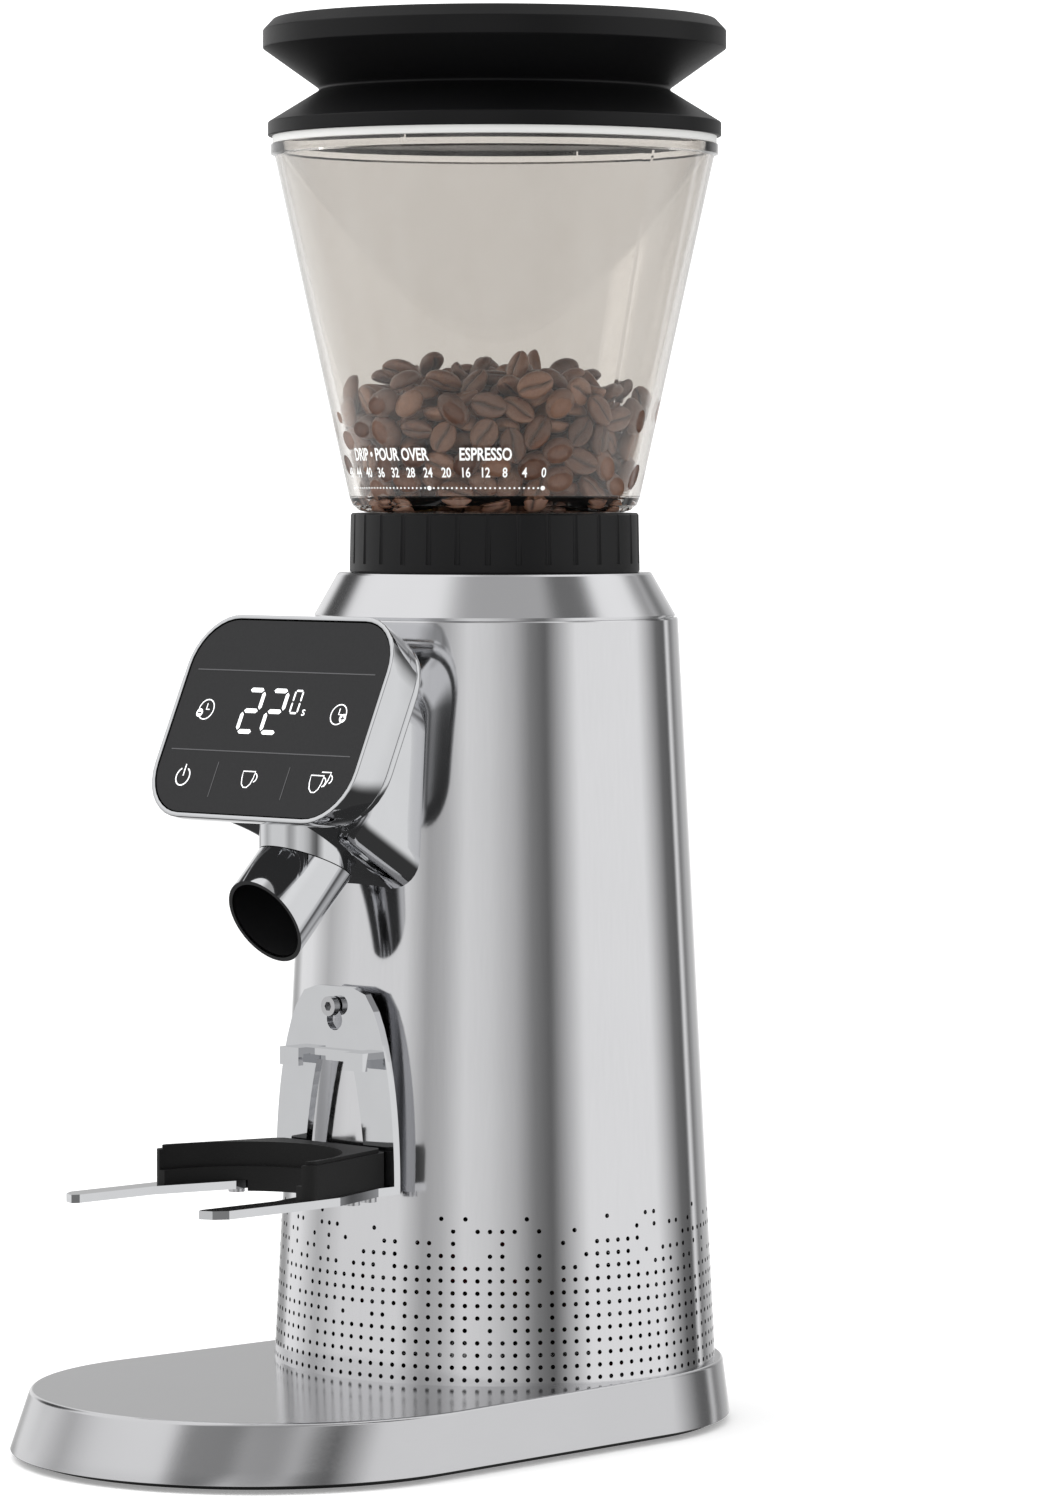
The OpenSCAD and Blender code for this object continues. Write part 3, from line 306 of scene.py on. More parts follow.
finishes = {
    "brushed_steel": metalFinish("brushedSteel", rgb(206, 206, 208), 0.15, (1, 0.06, 1), 0.5),
    "polished_steel": metalFinish("polishedSteel", rgb(222, 222, 224), 0.09, (1, 1, 0.05), 0.6, 0.001),
    "satin_steel": metalFinish("satinSteel", rgb(222, 222, 224), 0.17, (1, 1, 8), 0.5, 0.003),
    "chrome": metalFinish("chrome", rgb(214, 215, 217), 0.05, (1, 1, 1), 6.0, 0.002),
    "black_plastic": plasticFinish("blackPlastic", rgb(17, 17, 18), 0.42),
    "lid_black": plasticFinish("lidBlack", rgb(12, 12, 13), 0.42, 0.3, 0.015),
    "soft_black": plasticFinish("softBlack", rgb(22, 22, 22), 0.55, 0.45, 0.03),
    "rubber": plasticFinish("rubber", rgb(20, 20, 20), 0.75, 0.5, 0.03),
    "seal_white": plasticFinish("sealWhite", rgb(224, 224, 222), 0.4, 0.5, 0.01, 1.1),
    "smoke_clear": smokeFinish(),
    "black_glass": glassPanelFinish(),
    "screw_steel": metalFinish("screwSteel", rgb(200, 200, 202), 0.22, (1, 1, 1), 0.4),
    "bearing_steel": metalFinish("bearingSteel", rgb(212, 214, 218), 0.14, (1, 1, 1), 0.5),
    "zinc_plate": metalFinish("zincPlate", rgb(170, 174, 180), 0.32, (1, 1, 1), 2.0, 0.01),
    "cast_iron": metalFinish("castIron", rgb(84, 86, 90), 0.55, (1, 1, 1), 1.0, 0.05),
    "cast_aluminium": metalFinish("castAluminium", rgb(168, 170, 174), 0.42, (1, 1, 1), 0.8, 0.04),
    "circuit_board": boardFinish(),
    "components": componentFinish(),
    "wire_red": plasticFinish("wireRed", rgb(140, 30, 28), 0.45, 0.5, 0.01, 1.3),
    "ferrite": metalFinish("ferrite", rgb(64, 64, 68), 0.5, (1, 1, 1), 0.7, 0.03),
    "copper_winding": windingFinish(),
    "brass": metalFinish("brass", rgb(196, 160, 92), 0.22, (1, 1, 6), 0.6),
    "nylon": plasticFinish("nylon", rgb(224, 220, 206), 0.4, 0.6, 0.02, 1.1),
    "burr_steel": metalFinish("burrSteel", rgb(128, 130, 134), 0.28, (1, 1, 3), 0.5, 0.01),
}
for node in nodes.values():
    for place in node.material_slots:
        place.material = finishes[place.material.name]
print("finishes made:", len(finishes))


# ---- mesh helpers ----

def newPiece(name, points, faces, smooth=True):
    mesh = bpy.data.meshes.new(name)
    mesh.from_pydata([tuple(point) for point in points], [], faces)
    work = bmesh.new()
    work.from_mesh(mesh)
    bmesh.ops.remove_doubles(work, verts=work.verts, dist=1e-7)
    bmesh.ops.recalc_face_normals(work, faces=work.faces)
    work.to_mesh(mesh)
    work.free()
    for face in mesh.polygons:
        face.use_smooth = smooth
    piece = bpy.data.objects.new(name, mesh)
    scene.collection.objects.link(piece)
    return piece


def dress(piece, body, finish, insteadOf=(), evenShade=True):
    piece.data.materials.clear()
    piece.data.materials.append(finish)
    if evenShade:
        shade = piece.modifiers.new("evenShade", "WEIGHTED_NORMAL")
        shade.keep_sharp = True
    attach(piece, body)
    if insteadOf:
        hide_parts(*insteadOf)
    return piece


def softened(profile, radius, steps=4, isClosed=True):
    # rounds the corners of an outline; a point's third number is its own radius
    count = len(profile)
    rounded = []
    for index, point in enumerate(profile):
        here = Vector(point[:2])
        own = point[2] if len(point) > 2 else radius
        if own <= 0 or (not isClosed and index in (0, count - 1)):
            rounded.append(here)
            continue
        before = Vector(profile[index - 1][:2]) - here
        after = Vector(profile[(index + 1) % count][:2]) - here
        half = before.angle(after) / 2
        reach = min(own / math.tan(half), 0.45 * before.length, 0.45 * after.length)
        start = here + before.normalized() * reach
        end = here + after.normalized() * reach
        for step in range(steps + 1):
            t = step / steps
            rounded.append(start * (1 - t) ** 2 + here * 2 * t * (1 - t) + end * t * t)
    return rounded


def turned(name, profile, sides=160, isClosed=True):
    # turns an outline of (radius, height) in millimetres round the tower's axis
    count = len(profile)
    points = [aroundAxis(spot[0], 360 * side / sides, spot[1]) for side in range(sides) for spot in profile]
    faces = []
    for side in range(sides):
        here, there = side * count, (side + 1) % sides * count
        for index in range(count if isClosed else count - 1):
            after = (index + 1) % count
            if profile[index][0] < 1e-6 and profile[after][0] < 1e-6:
                continue
            faces.append((here + index, there + index, there + after, here + after))
    return newPiece(name, points, faces)


def lofted(name, rings, capFirst=False, capLast=False):
    count = len(rings[0])
    points = [point for ring in rings for point in ring]
    faces = []
    for level in range(len(rings) - 1):
        for index in range(count):
            after = (index + 1) % count
            faces.append((level * count + index, level * count + after,
                          (level + 1) * count + after, (level + 1) * count + index))
    if capFirst:
        faces.append(tuple(range(count)))
    if capLast:
        faces.append(tuple((len(rings) - 1) * count + index for index in range(count)))
    return newPiece(name, points, faces)


def refined(node, name, width, steps=2, sharper=35):
    # a copy of a CAD node with rounded edges, which stands in its place
    source = nodes[node]
    work = bmesh.new()
    work.from_mesh(source.data)
    bmesh.ops.remove_doubles(work, verts=work.verts, dist=2e-6)
    bmesh.ops.dissolve_limit(work, angle_limit=math.radians(0.6), verts=work.verts, edges=work.edges)
    mesh = bpy.data.meshes.new(name)
    work.to_mesh(mesh)
    work.free()
    for face in mesh.polygons:
        face.use_smooth = True
    piece = bpy.data.objects.new(name, mesh)
    scene.collection.objects.link(piece)
    edge = piece.modifiers.new("roundEdge", "BEVEL")
    edge.width = width * mm
    edge.segments = steps
    edge.limit_method = "ANGLE"
    edge.angle_limit = math.radians(sharper)
    edge.use_clamp_overlap = True
    edge.harden_normals = False
    body = source["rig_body"]
    slot = frame["record"]["materials"]
    return piece, body


# ---- camera, floor and light ----

view = {
    "turn": 44.65,          # degrees from the front towards +X
    "pan": 0.26,
    "pitch": 2.63,          # degrees down
    "lens": 147.9,
    "place": (1.1737, -1.1435, 0.2588),
}


def makeCamera():
    turn, pan, pitch = (math.radians(view[name]) for name in ("turn", "pan", "pitch"))
    ahead = Vector((-math.sin(turn), math.cos(turn), 0))
    side = Vector((math.cos(turn), math.sin(turn), 0))
    forward = ahead * math.cos(pan) + side * math.sin(pan)
    right = side * math.cos(pan) - ahead * math.sin(pan)
    up = Vector((0, 0, 1))
    look = forward * math.cos(pitch) - up * math.sin(pitch)
    over = up * math.cos(pitch) + forward * math.sin(pitch)
    data = bpy.data.cameras.new("camera")
    data.lens = view["lens"]
    data.sensor_width = 36
    data.clip_start, data.clip_end = 0.01, 50
    camera = bpy.data.objects.new("camera", data)
    turnTo = Matrix((right, over, -look)).transposed().to_4x4()
    camera.matrix_world = Matrix.Translation(view["place"]) @ turnTo
    scene.collection.objects.link(camera)
    scene.camera = camera


studio = {
    "fill": 0.95,           # brightness that lights plastic and the floor
    "backdrop": 1.6,
    "ceiling": 1.05,
    "walls": [              # brightness round the room, by turn from the front towards +X
        (-180, 1.0), (-85, 0.97), (-65, 0.58), (-45, 0.86), (-8, 0.86), (6, 0.46), (16, 0.56),
        (28, 0.86), (42, 0.78), (56, 0.56), (66, 0.26), (76, 0.14), (86, 0.56), (96, 0.97),
        (143, 0.98), (155, 0.54), (165, 0.18), (176, 0.12), (186, 0.22), (196, 0.52), (206, 0.62),
        (216, 1.0), (226, 1.0)],
    "floorLow": 0.05,       # brightness from straight below, where the table is dark
    "lowStart": -0.2,       # height on the room's globe where the walls start to darken
    "lowEnd": -0.55,
    "screens": [            # dark screens overhead: turn, height, half width, soft edge, depth
        (-96, 24, 6, 12, 0.93), (112, 48, 6, 12, 0.85), (52, 56, 16, 18, 0.55), (182, 24, 6, 14, 0.4),
        (14, 33, 7, 12, 0.68), (42, 29, 4, 14, 0.45),
        (225, 15, 8, 9, 0.45), (-112, -15, 8, 10, 0.6)],
}


def makeWorld():
    world = bpy.data.worlds.new("studio")
    scene.world = world
    recipe = Recipe(world)
    way = recipe.add("TexCoord", output="Generated")
    parts = recipe.add("SeparateXYZ", {}, {0: way})
    across, ahead, height = parts, parts.other("Y"), parts.other("Z")
    turn = across.maths("ARCTAN2", ahead * -1) / math.tau
    around = (turn + 1 / 3).maths("FRACT")
    stops = sorted(((angle / 360 + 1 / 3) % 1, light) for angle, light in studio["walls"])
    wall = recipe.add("ValToRGB", {"stops": [(place, (light,) * 3) for place, light in stops]},
                      {"Fac": around})
    rise = recipe.add("MapRange", {"interpolation_type": "SMOOTHSTEP"},
                      {"Value": height, "From Min": 0.3, "From Max": 0.55})
    fall = recipe.add("MapRange", {"interpolation_type": "SMOOTHSTEP"},
                      {"Value": height, "From Min": studio["lowStart"], "From Max": studio["lowEnd"]})
    light = wall * (1 - rise) + rise * studio["ceiling"]
    light = light * (1 - fall) + fall * studio["floorLow"]
    for screenTurn, screenUp, half, edge, depth in studio["screens"]:
        angle, up = math.radians(screenTurn), math.radians(screenUp)
        centre = (math.sin(angle) * math.cos(up), -math.cos(angle) * math.cos(up), math.sin(up))
        near = recipe.add("VectorMath", {"operation": "DOT_PRODUCT"}, {0: way, 1: centre}, "Value")
        shade = recipe.add("MapRange", {"interpolation_type": "SMOOTHSTEP"}, {
            "Value": near, "From Min": math.cos(math.radians(half + edge)),
            "From Max": math.cos(math.radians(half))})
        light = (1 - shade * depth) * light
    path = recipe.add("LightPath", output="Is Camera Ray")
    spread, through = path.other("Is Diffuse Ray"), path.other("Is Transmission Ray")
    light = light * (1 - through) + through
    light = light * (1 - spread) + spread * studio["fill"]
    light = light * (1 - path) + path * studio["backdrop"]
    shader = recipe.add("Background", {}, {"Color": (1, 1, 1, 1), "Strength": light})
    recipe.add("OutputWorld", {}, {"Surface": shader})


lamps = {
    "overhead": {"place": (-0.5, -0.6, 1.7), "aim": (0, 0, 0.2), "size": 1.1, "power": 9},
    "side": {"place": (-1.3, -1.0, 0.9), "aim": (0, 0, 0.22), "size": 0.7, "power": 4},
}


def makeLamps():
    for name, lamp in lamps.items():
        data = bpy.data.lights.new(name, "AREA")
        data.shape = "RECTANGLE"
        data.size = data.size_y = lamp["size"]
        data.energy = lamp["power"]
        lampObject = bpy.data.objects.new(name, data)
        lampObject.location = lamp["place"]
        lampObject.visible_glossy = False
        toward = Vector(lamp["aim"]) - Vector(lamp["place"])
        lampObject.rotation_euler = toward.to_track_quat("-Z", "Y").to_euler()
        scene.collection.objects.link(lampObject)


def makeFloor():
    size, sides = 6.0, 64
    points = [(size * math.cos(math.tau * side / sides), size * math.sin(math.tau * side / sides), 0)
              for side in range(sides)]
    floor = newPiece("floor", points, [tuple(range(sides))], False)
    recipe = newRecipe("paleFloor")
    paper = recipe.noise(60, (1, 1, 1), 2)
    floor.data.materials.append(recipe.surface(
        Base_Color=recipe.blend(paper, (0.93, 0.93, 0.93, 1), (0.95, 0.95, 0.95, 1)),
        Roughness=paper * 0.1 + 0.6, Specular_IOR_Level=0.0,
        Emission_Color=(1, 1, 1, 1), Emission_Strength=0.28))
    floor.visible_glossy = False


scene.view_settings.view_transform = "Standard"
makeCamera()
makeWorld()
makeLamps()
makeFloor()
print("camera, light and floor made")


# ---- base ----

base = {
    "frontR": 66, "backR": 64,           # radii of the outline at the floor
    "reach": 87, "reachTop": 80.5,       # how far the front circle is ahead of the axis
    "topFrontR": 65.5, "topBackR": 62,
    "edge": 0.9,                         # rounding of the upper edge
    "wall": 2.4,
    "around": 288,
}


def baseOutline(frontR, backR, reach, z):
    # outline round two circles: for each direction, the circle that stands out more
    points = []
    for index in range(base["around"]):
        angle = math.tau * (index + 0.5) / base["around"]
        out = Vector((math.cos(angle), math.sin(angle)))
        isFront = -reach * out.y + frontR > backR
        centre = Vector((0, -reach)) if isFront else Vector((0, 0))
        spot = centre + out * (frontR if isFront else backR)
        points.append(Vector((spot.x, spot.y + axisY, z)) * mm)
    return points


def makeBase():
    bottom, top = low("base_shell").z, high("base_shell").z
    edge, wall = base["edge"], base["wall"]

    def ringAt(z, inset):
        share = (z - bottom) / (top - bottom)
        return baseOutline(base["frontR"] + share * (base["topFrontR"] - base["frontR"]) - inset,
                           base["backR"] + share * (base["topBackR"] - base["backR"]) - inset,
                           base["reach"] + share * (base["reachTop"] - base["reach"]), z)

    rings = [ringAt(bottom + 4, wall), ringAt(bottom + 0.3, wall), ringAt(bottom, wall - 0.3),
             ringAt(bottom, 0.3), ringAt(bottom + 0.3, 0)]
    rings += [ringAt(bottom + (top - edge - bottom) * share, 0) for share in (0.25, 0.5, 0.75)]
    for step in range(7):
        angle = math.pi / 2 * step / 6
        rings.append(ringAt(top - edge + edge * math.sin(angle), edge * (1 - math.cos(angle))))
    rings.append(ringAt(top, edge + 1.5))
    piece = lofted("baseShell", rings, capLast=True)
    dress(piece, "stand", finishes["brushed_steel"], ["base_shell"])


makeBase()
print("base made")


# ---- tower shell with its perforated skirt ----

skirt = {
    "columns": 112,
    "firstRow": 18.95,                   # height of the lowest row
    "rowStep": 3.25,
    "holeR": 0.62,
    "depth": 1.2,
    "keep": [1, 1, 0.98, 0.97, 0.95, 0.93, 0.93, 0.9, 0.84, 0.74, 0.66, 0.6, 0.42, 0.24],
    "seed": 11,
}


def makeTower():
    rng = np.random.default_rng(skirt["seed"])
    columns, step = skirt["columns"], skirt["rowStep"]
    rows = len(skirt["keep"])
    split = 3                                        # parts of each cell side
    around = columns * split
    cellTurn = 360 / columns
    bandLow = skirt["firstRow"] - step / 2
    points, faces, outward = [], [], []
    lookUp = {}

    def spot(turn, z, inward=0.0):
        key = (round(turn % 360, 4), round(z, 4), inward)
        if key not in lookUp:
            lookUp[key] = len(points)
            points.append(aroundAxis(towerRadius(z) - inward, turn, z))
        return lookUp[key]

    def face(corners, normals=None):
        faces.append([spot(*corner) for corner in corners])
        for corner in corners:
            angle = math.radians(corner[0])
            outward.append(normals or Vector((math.sin(angle), -math.cos(angle), towerSlope)).normalized())

    heights = [bandLow + row * step for row in range(rows + 1)]
    for row in range(rows):
        for column in range(columns):
            left, bottom = column * cellTurn, heights[row]
            fractions = [part / split for part in range(split)]
            edge = [(left + f * cellTurn, bottom) for f in fractions]
            edge += [(left + cellTurn, bottom + f * step) for f in fractions]
            edge += [(left + (1 - f) * cellTurn, bottom + step) for f in fractions]
            edge += [(left, bottom + (1 - f) * step) for f in fractions]
            if rng.random() > skirt["keep"][row]:
                face(edge)
                continue
            midTurn, midZ = left + cellTurn / 2, bottom + step / 2
            turnPerMm = math.degrees(1 / towerRadius(midZ))
            hole = []
            for index in range(len(edge)):
                angle = math.tau * (index / len(edge)) - 3 * math.pi / 4
                hole.append((midTurn + skirt["holeR"] * math.cos(angle) * turnPerMm,
                             midZ + skirt["holeR"] * math.sin(angle)))
            for index in range(len(edge)):
                after = (index + 1) % len(edge)
                face([edge[index], edge[after], hole[after], hole[index]])
                inner = [(*hole[after], skirt["depth"]), (*hole[index], skirt["depth"])]
                turnHere = math.radians(midTurn)
                angle = math.tau * ((index + 0.5) / len(edge)) - 3 * math.pi / 4
                sideways = Vector((math.cos(turnHere), math.sin(turnHere), 0)) * -math.cos(angle)
                wallNormal = (sideways + Vector((0, 0, -math.sin(angle)))).normalized()
                face([hole[index], hole[after], *inner], wallNormal)
    levels = [towerLow] if towerLow < bandLow - 0.01 else []
    plain = list(np.linspace(heights[-1], towerHigh - 0.4, 9))
    for lowZ, highZ in list(zip(plain[:-1], plain[1:])):
        for index in range(around):
            turn, after = index * cellTurn / split, (index + 1) * cellTurn / split
            face([(turn, lowZ), (after, lowZ), (after, highZ), (turn, highZ)])
    lip = [(plain[-1], 0.0), (towerHigh - 0.1, 0.12), (towerHigh, 0.4), (towerHigh, 1.2), (towerHigh - 6, 1.2)]
    for (lowZ, lowIn), (highZ, highIn) in zip(lip[:-1], lip[1:]):
        for index in range(around):
            turn, after = index * cellTurn / split, (index + 1) * cellTurn / split
            mid = math.radians((turn + after) / 2)
            rise = Vector((highIn - lowIn, highZ - lowZ))
            flat = Vector((math.sin(mid), -math.cos(mid), 0))
            tilt = (flat * rise.y + Vector((0, 0, rise.x))).normalized()
            face([(turn, lowZ, lowIn), (after, lowZ, lowIn), (after, highZ, highIn), (turn, highZ, highIn)], tilt)
    mesh = bpy.data.meshes.new("towerShell")
    mesh.from_pydata([tuple(point) for point in points], [], faces)
    for polygon in mesh.polygons:
        polygon.use_smooth = True
    mesh.normals_split_custom_set([tuple(normal) for normal in outward])
    piece = bpy.data.objects.new("towerShell", mesh)
    scene.collection.objects.link(piece)
    dress(piece, "stand", finishes["polished_steel"], ["tower_shell"], False)


makeTower()
print("tower made")


# ---- lid ----

lid = {
    "flangeIn": 1.3, "flangeH": 3.7, "waistIn": 15.6, "waistUp": 12.5, "rimH": 4.8,
    "bevel": 3.1, "bevelIn": 2.9,
}


def makeLid():
    bottom, top = low("hopper_lid").z, high("hopper_lid").z
    rimR = high("hopper_lid").x
    flangeR, waistR, waistZ = rimR - lid["flangeIn"], rimR - lid["waistIn"], bottom + lid["waistUp"]
    profile = softened([
        (0, bottom, 0), (flangeR, bottom, 0.4), (flangeR, bottom + lid["flangeH"], 0.6),
        (waistR, waistZ, 0.9), (rimR, top - lid["bevel"] - lid["rimH"], 0.6),
        (rimR, top - lid["bevel"], 0.7), (rimR - lid["bevelIn"], top, 1.2), (0, top, 0)], 0.8, 6)
    piece = turned("lidShell", profile, 200)
    dress(piece, "lid", finishes["lid_black"], ["hopper_lid"])


makeLid()
print("lid made")


# ---- hopper scale ----

hopperFoot = (39.4, high("grip_ring").z + 4.3)     # radius and height where the cone starts
hopperMouth = (high("hopper").x - 1.1, high("hopper").z - 3.1)
hopperSlope = (hopperMouth[0] - hopperFoot[0]) / (hopperMouth[1] - hopperFoot[1])


def hopperRadius(z):
    return hopperFoot[0] + hopperSlope * (z - hopperFoot[1])


scale = {
    "zeroTurn": 63.2, "unitTurn": 1.84, "units": 48,
    "lineZ": 253.2, "numberZ": 256.1, "wordZ": 260.6,
    "numberSize": 3.7, "wordSize": 4.7, "dotR": 0.27, "bigDotR": 0.62,
    "words": [("ESPRESSO", 11.9), ("DRIP • POUR OVER", 34.0)],
}


def letterShape(text, size, thicken=0.035):
    curve = bpy.data.curves.new("letters", "FONT")
    curve.body = text
    curve.size = size
    curve.align_x = "CENTER"
    curve.offset = thicken * size
    curve.resolution_u = 3
    holder = bpy.data.objects.new("letters", curve)
    scene.collection.objects.link(holder)
    graph = bpy.context.evaluated_depsgraph_get()
    mesh = bpy.data.meshes.new_from_object(holder.evaluated_get(graph))
    spots = [(vertex.co.x, vertex.co.y) for vertex in mesh.vertices]
    faces = [tuple(face.vertices) for face in mesh.polygons]
    bpy.data.objects.remove(holder)
    bpy.data.meshes.remove(mesh)
    return spots, faces


def discShape(radius, sides=16):
    spots = [(radius * math.cos(math.tau * k / sides), radius * math.sin(math.tau * k / sides))
             for k in range(sides)]
    return spots, [tuple(range(sides))]


def makeScale():
    points, faces = [], []

    def printed(shape, turn, z, narrow=1.0):
        spots, shapeFaces = shape
        first = len(points)
        for across, up in spots:
            here = z + up * math.cos(math.atan(hopperSlope))
            radius = hopperRadius(here) + 0.05
            points.append(aroundAxis(radius, turn + math.degrees(across * narrow / radius), here))
        faces.extend(tuple(first + index for index in face) for face in shapeFaces)

    for unit in range(scale["units"] + 1):
        turn = scale["zeroTurn"] - unit * scale["unitTurn"]
        isBig = unit % 24 == 0
        printed(discShape(scale["bigDotR"] if isBig else scale["dotR"]), turn, scale["lineZ"])
        if unit % 4 == 0:
            printed(letterShape(str(unit), scale["numberSize"], 0.02), turn, scale["numberZ"], 0.74)
    for word, unit in scale["words"]:
        turn = scale["zeroTurn"] - unit * scale["unitTurn"]
        printed(letterShape(word, scale["wordSize"], 0.025), turn, scale["wordZ"], 0.7)
    piece = newPiece("hopperScale", points, faces, False)
    thick = piece.modifiers.new("inkLayer", "SOLIDIFY")
    thick.thickness = 0.03 * mm
    # the white print is given a faint glow of its own (emission 0.15): painted light, since printed ink is no lamp
    dress(piece, "hopper", markFinish("whitePrintWithPaintedGlow", rgb(246, 246, 244), 0.15), evenShade=False)


makeScale()
print("scale printed")


# ---- coffee beans ----

beans = {
    "count": 640, "packR": 3.9, "floor": 241.5, "throatR": 29.6, "throatTop": 247.5,
    "length": 4.9, "width": 3.5, "back": 2.9, "belly": 1.1, "seamDepth": 0.75, "seamWidth": 0.42,
    "steps": 260, "seed": 5,
}


def bowlRadius(z):
    # inside of the hopper
    inner = hopperRadius(z) - 2.05
    return np.where(z < beans["throatTop"], beans["throatR"],
                    np.where(z < hopperFoot[1] + 0.6, np.minimum(inner, 36.4) - 0.9, inner))


def settleBeans():
    rng = np.random.default_rng(beans["seed"])
    count, radius = beans["count"], beans["packR"]
    heights = rng.uniform(beans["floor"] + 4, beans["floor"] + 62, count)
    turns = rng.uniform(0, math.tau, count)
    outs = np.sqrt(rng.uniform(0, 1, count)) * (bowlRadius(heights) - radius)
    spots = np.stack([outs * np.cos(turns), outs * np.sin(turns), heights], 1)
    sizes = radius * rng.uniform(0.9, 1.08, count)
    for step in range(beans["steps"]):
        ease = 1 - step / beans["steps"]
        spots[:, 2] -= 0.5 * ease
        gap = spots[:, None, :] - spots[None, :, :]
        distance = np.sqrt((gap ** 2).sum(2)) + np.eye(count) * 1e3 + 1e-6
        press = np.clip(sizes[:, None] + sizes[None, :] - distance, 0, None)
        push = (gap / distance[:, :, None] * press[:, :, None]).sum(1) * 0.42
        spots += np.clip(push, -1.6, 1.6)
        reach = np.hypot(spots[:, 0], spots[:, 1]) + 1e-6
        limit = bowlRadius(spots[:, 2]) - sizes * 0.72
        pull = np.minimum(1, limit / reach)
        spots[:, 0] *= pull
        spots[:, 1] *= pull
        spots[:, 2] = np.maximum(spots[:, 2], beans["floor"] + sizes * 0.8)
    return spots, sizes, rng


def beanShape():
    # one bean along X: a domed back, a nearly flat belly and a bent seam
    angles = [0, 30, 60, 90, 120, 150, 180, 204, 228, 246, 257, 264, 270, 276, 283, 294, 312, 336]
    along = [math.cos(math.pi * k / 10) for k in range(1, 10)]
    points, seam = [(beans["length"], 0, 0), (-beans["length"], 0, 0)], [0.0, 0.0]
    for place in along:
        ringR = math.sqrt(1 - place * place)
        bend = 0.3 * math.sin(place * 3.2)
        for angle in angles:
            y = math.cos(math.radians(angle)) * ringR
            z = math.sin(math.radians(angle)) * ringR
            width = beans["width"] * y
            if z >= 0:
                points.append((beans["length"] * place, width, beans["back"] * z))
                seam.append(0.0)
                continue
            cut = math.exp(-(((width - bend) / beans["seamWidth"]) ** 2)) * (1 - place ** 6)
            points.append((beans["length"] * place, width,
                           -beans["belly"] * abs(z) ** 0.55 + beans["seamDepth"] * cut))
            # how deep the seam cut is here, kept so that shade can be painted into the crease
            seam.append(cut)
    count = len(angles)
    faces = []
    for ring in range(len(along) - 1):
        for index in range(count):
            after = (index + 1) % count
            first = 2 + ring * count
            faces.append((first + index, first + after, first + count + after, first + count + index))
    last = 2 + (len(along) - 1) * count
    for index in range(count):
        after = (index + 1) % count
        faces.append((0, 2 + after, 2 + index))
        faces.append((1, last + index, last + after))
    return np.array(points), faces, np.array(seam)


def makeBeans():
    spots, sizes, rng = settleBeans()
    shape, shapeFaces, seam = beanShape()
    points, faces, roast, seamShades = [], [], [], []
    for spot, size in zip(spots, sizes):
        reach = math.hypot(spot[0], spot[1])
        wall = float(bowlRadius(np.array(spot[2])))
        inward = Vector((-spot[0], -spot[1], 0)).normalized()
        isAtWall = reach > wall - 6.5
        flip = 1 if rng.random() < 0.56 else -1
        wobble = Vector(rng.normal(0, 0.22 if isAtWall else 0.42, 3))
        upright = ((inward * flip if isAtWall else Vector((0, 0, flip))) + wobble).normalized()
        roll = Vector(rng.normal(0, 1, 3))
        length = (roll - upright * roll.dot(upright)).normalized()
        turnTo = np.array(Matrix((length, upright.cross(length), upright)).transposed())
        grow = size / beans["packR"] * np.array([rng.uniform(0.9, 1.06), rng.uniform(0.94, 1.06), 1])
        placed = (shape * grow) @ turnTo.T + spot
        outs = np.hypot(placed[:, 0], placed[:, 1])
        limit = bowlRadius(placed[:, 2]) - 0.12
        placed[:, :2] *= np.minimum(1, limit / np.maximum(outs, 1e-6))[:, None]
        first = len(points)
        points.extend((Vector(point) + Vector((0, axisY, 0))) * mm for point in placed)
        faces.extend(tuple(first + index for index in face) for face in shapeFaces)
        roast.extend([float(np.clip(rng.normal(0.5, 0.3), 0, 1))] * len(shape))
        seamShades.extend(seam)
    mesh = bpy.data.meshes.new("coffeeBeans")
    mesh.from_pydata(points, [], faces)
    for name, values in (("roast", roast), ("seam", seamShades)):
        layer = mesh.attributes.new(name, "FLOAT", "POINT")
        layer.data.foreach_set("value", np.array(values, np.float32))
    for face in mesh.polygons:
        face.use_smooth = True
    piece = bpy.data.objects.new("coffeeBeans", mesh)
    scene.collection.objects.link(piece)
    dress(piece, "hopper", beanFinish(), evenShade=False)


makeBeans()
print("beans settled")


# ---- panel, its marks and its housing ----

panel = {
    "tilt": 24.5, "width": 77.3, "length": 58, "corner": 15,
    "depth": 13, "rearT": 1.6, "bezelT": 1.2, "glassDepth": 0.3, "glassMid": 1.3,
}
panelTilt = math.radians(panel["tilt"])
panelOut = Vector((0, -math.cos(panelTilt), math.sin(panelTilt)))
panelUp = Vector((0, math.sin(panelTilt), math.cos(panelTilt)))
panelMiddle = middle("touch_glass") + panelOut * panel["glassMid"] * mm


def onPanel(x, y, depth):
    return panelMiddle + (Vector((x, 0, 0)) + panelUp * y - panelOut * depth) * mm


def panelRing(halfW, lowY, highY, corner, depth, perCorner=9, perSide=5):
    # a rounded outline behind the panel's face, run round from its right side
    spots = []
    corners = [(halfW, highY, 0), (-halfW, highY, 90), (-halfW, lowY, 180), (halfW, lowY, 270)]
    for index, (x, y, start) in enumerate(corners):
        centreX = x - math.copysign(corner, x)
        centreY = y - corner if y == highY else y + corner
        for step in range(perCorner + 1):
            angle = math.radians(start + 90 * step / perCorner)
            spots.append((centreX + corner * math.cos(angle), centreY + corner * math.sin(angle)))
        nextX, nextY, nextStart = corners[(index + 1) % 4]
        nextCx = nextX - math.copysign(corner, nextX)
        nextCy = nextY - corner if nextY == highY else nextY + corner
        here = spots[-1]
        angle = math.radians(nextStart)
        there = (nextCx + corner * math.cos(angle), nextCy + corner * math.sin(angle))
        for step in range(1, perSide):
            share = step / perSide
            spots.append((here[0] + (there[0] - here[0]) * share, here[1] + (there[1] - here[1]) * share))
    return [(x, y, depth) for x, y in spots]


def placed(ring):
    return [onPanel(*spot) for spot in ring]


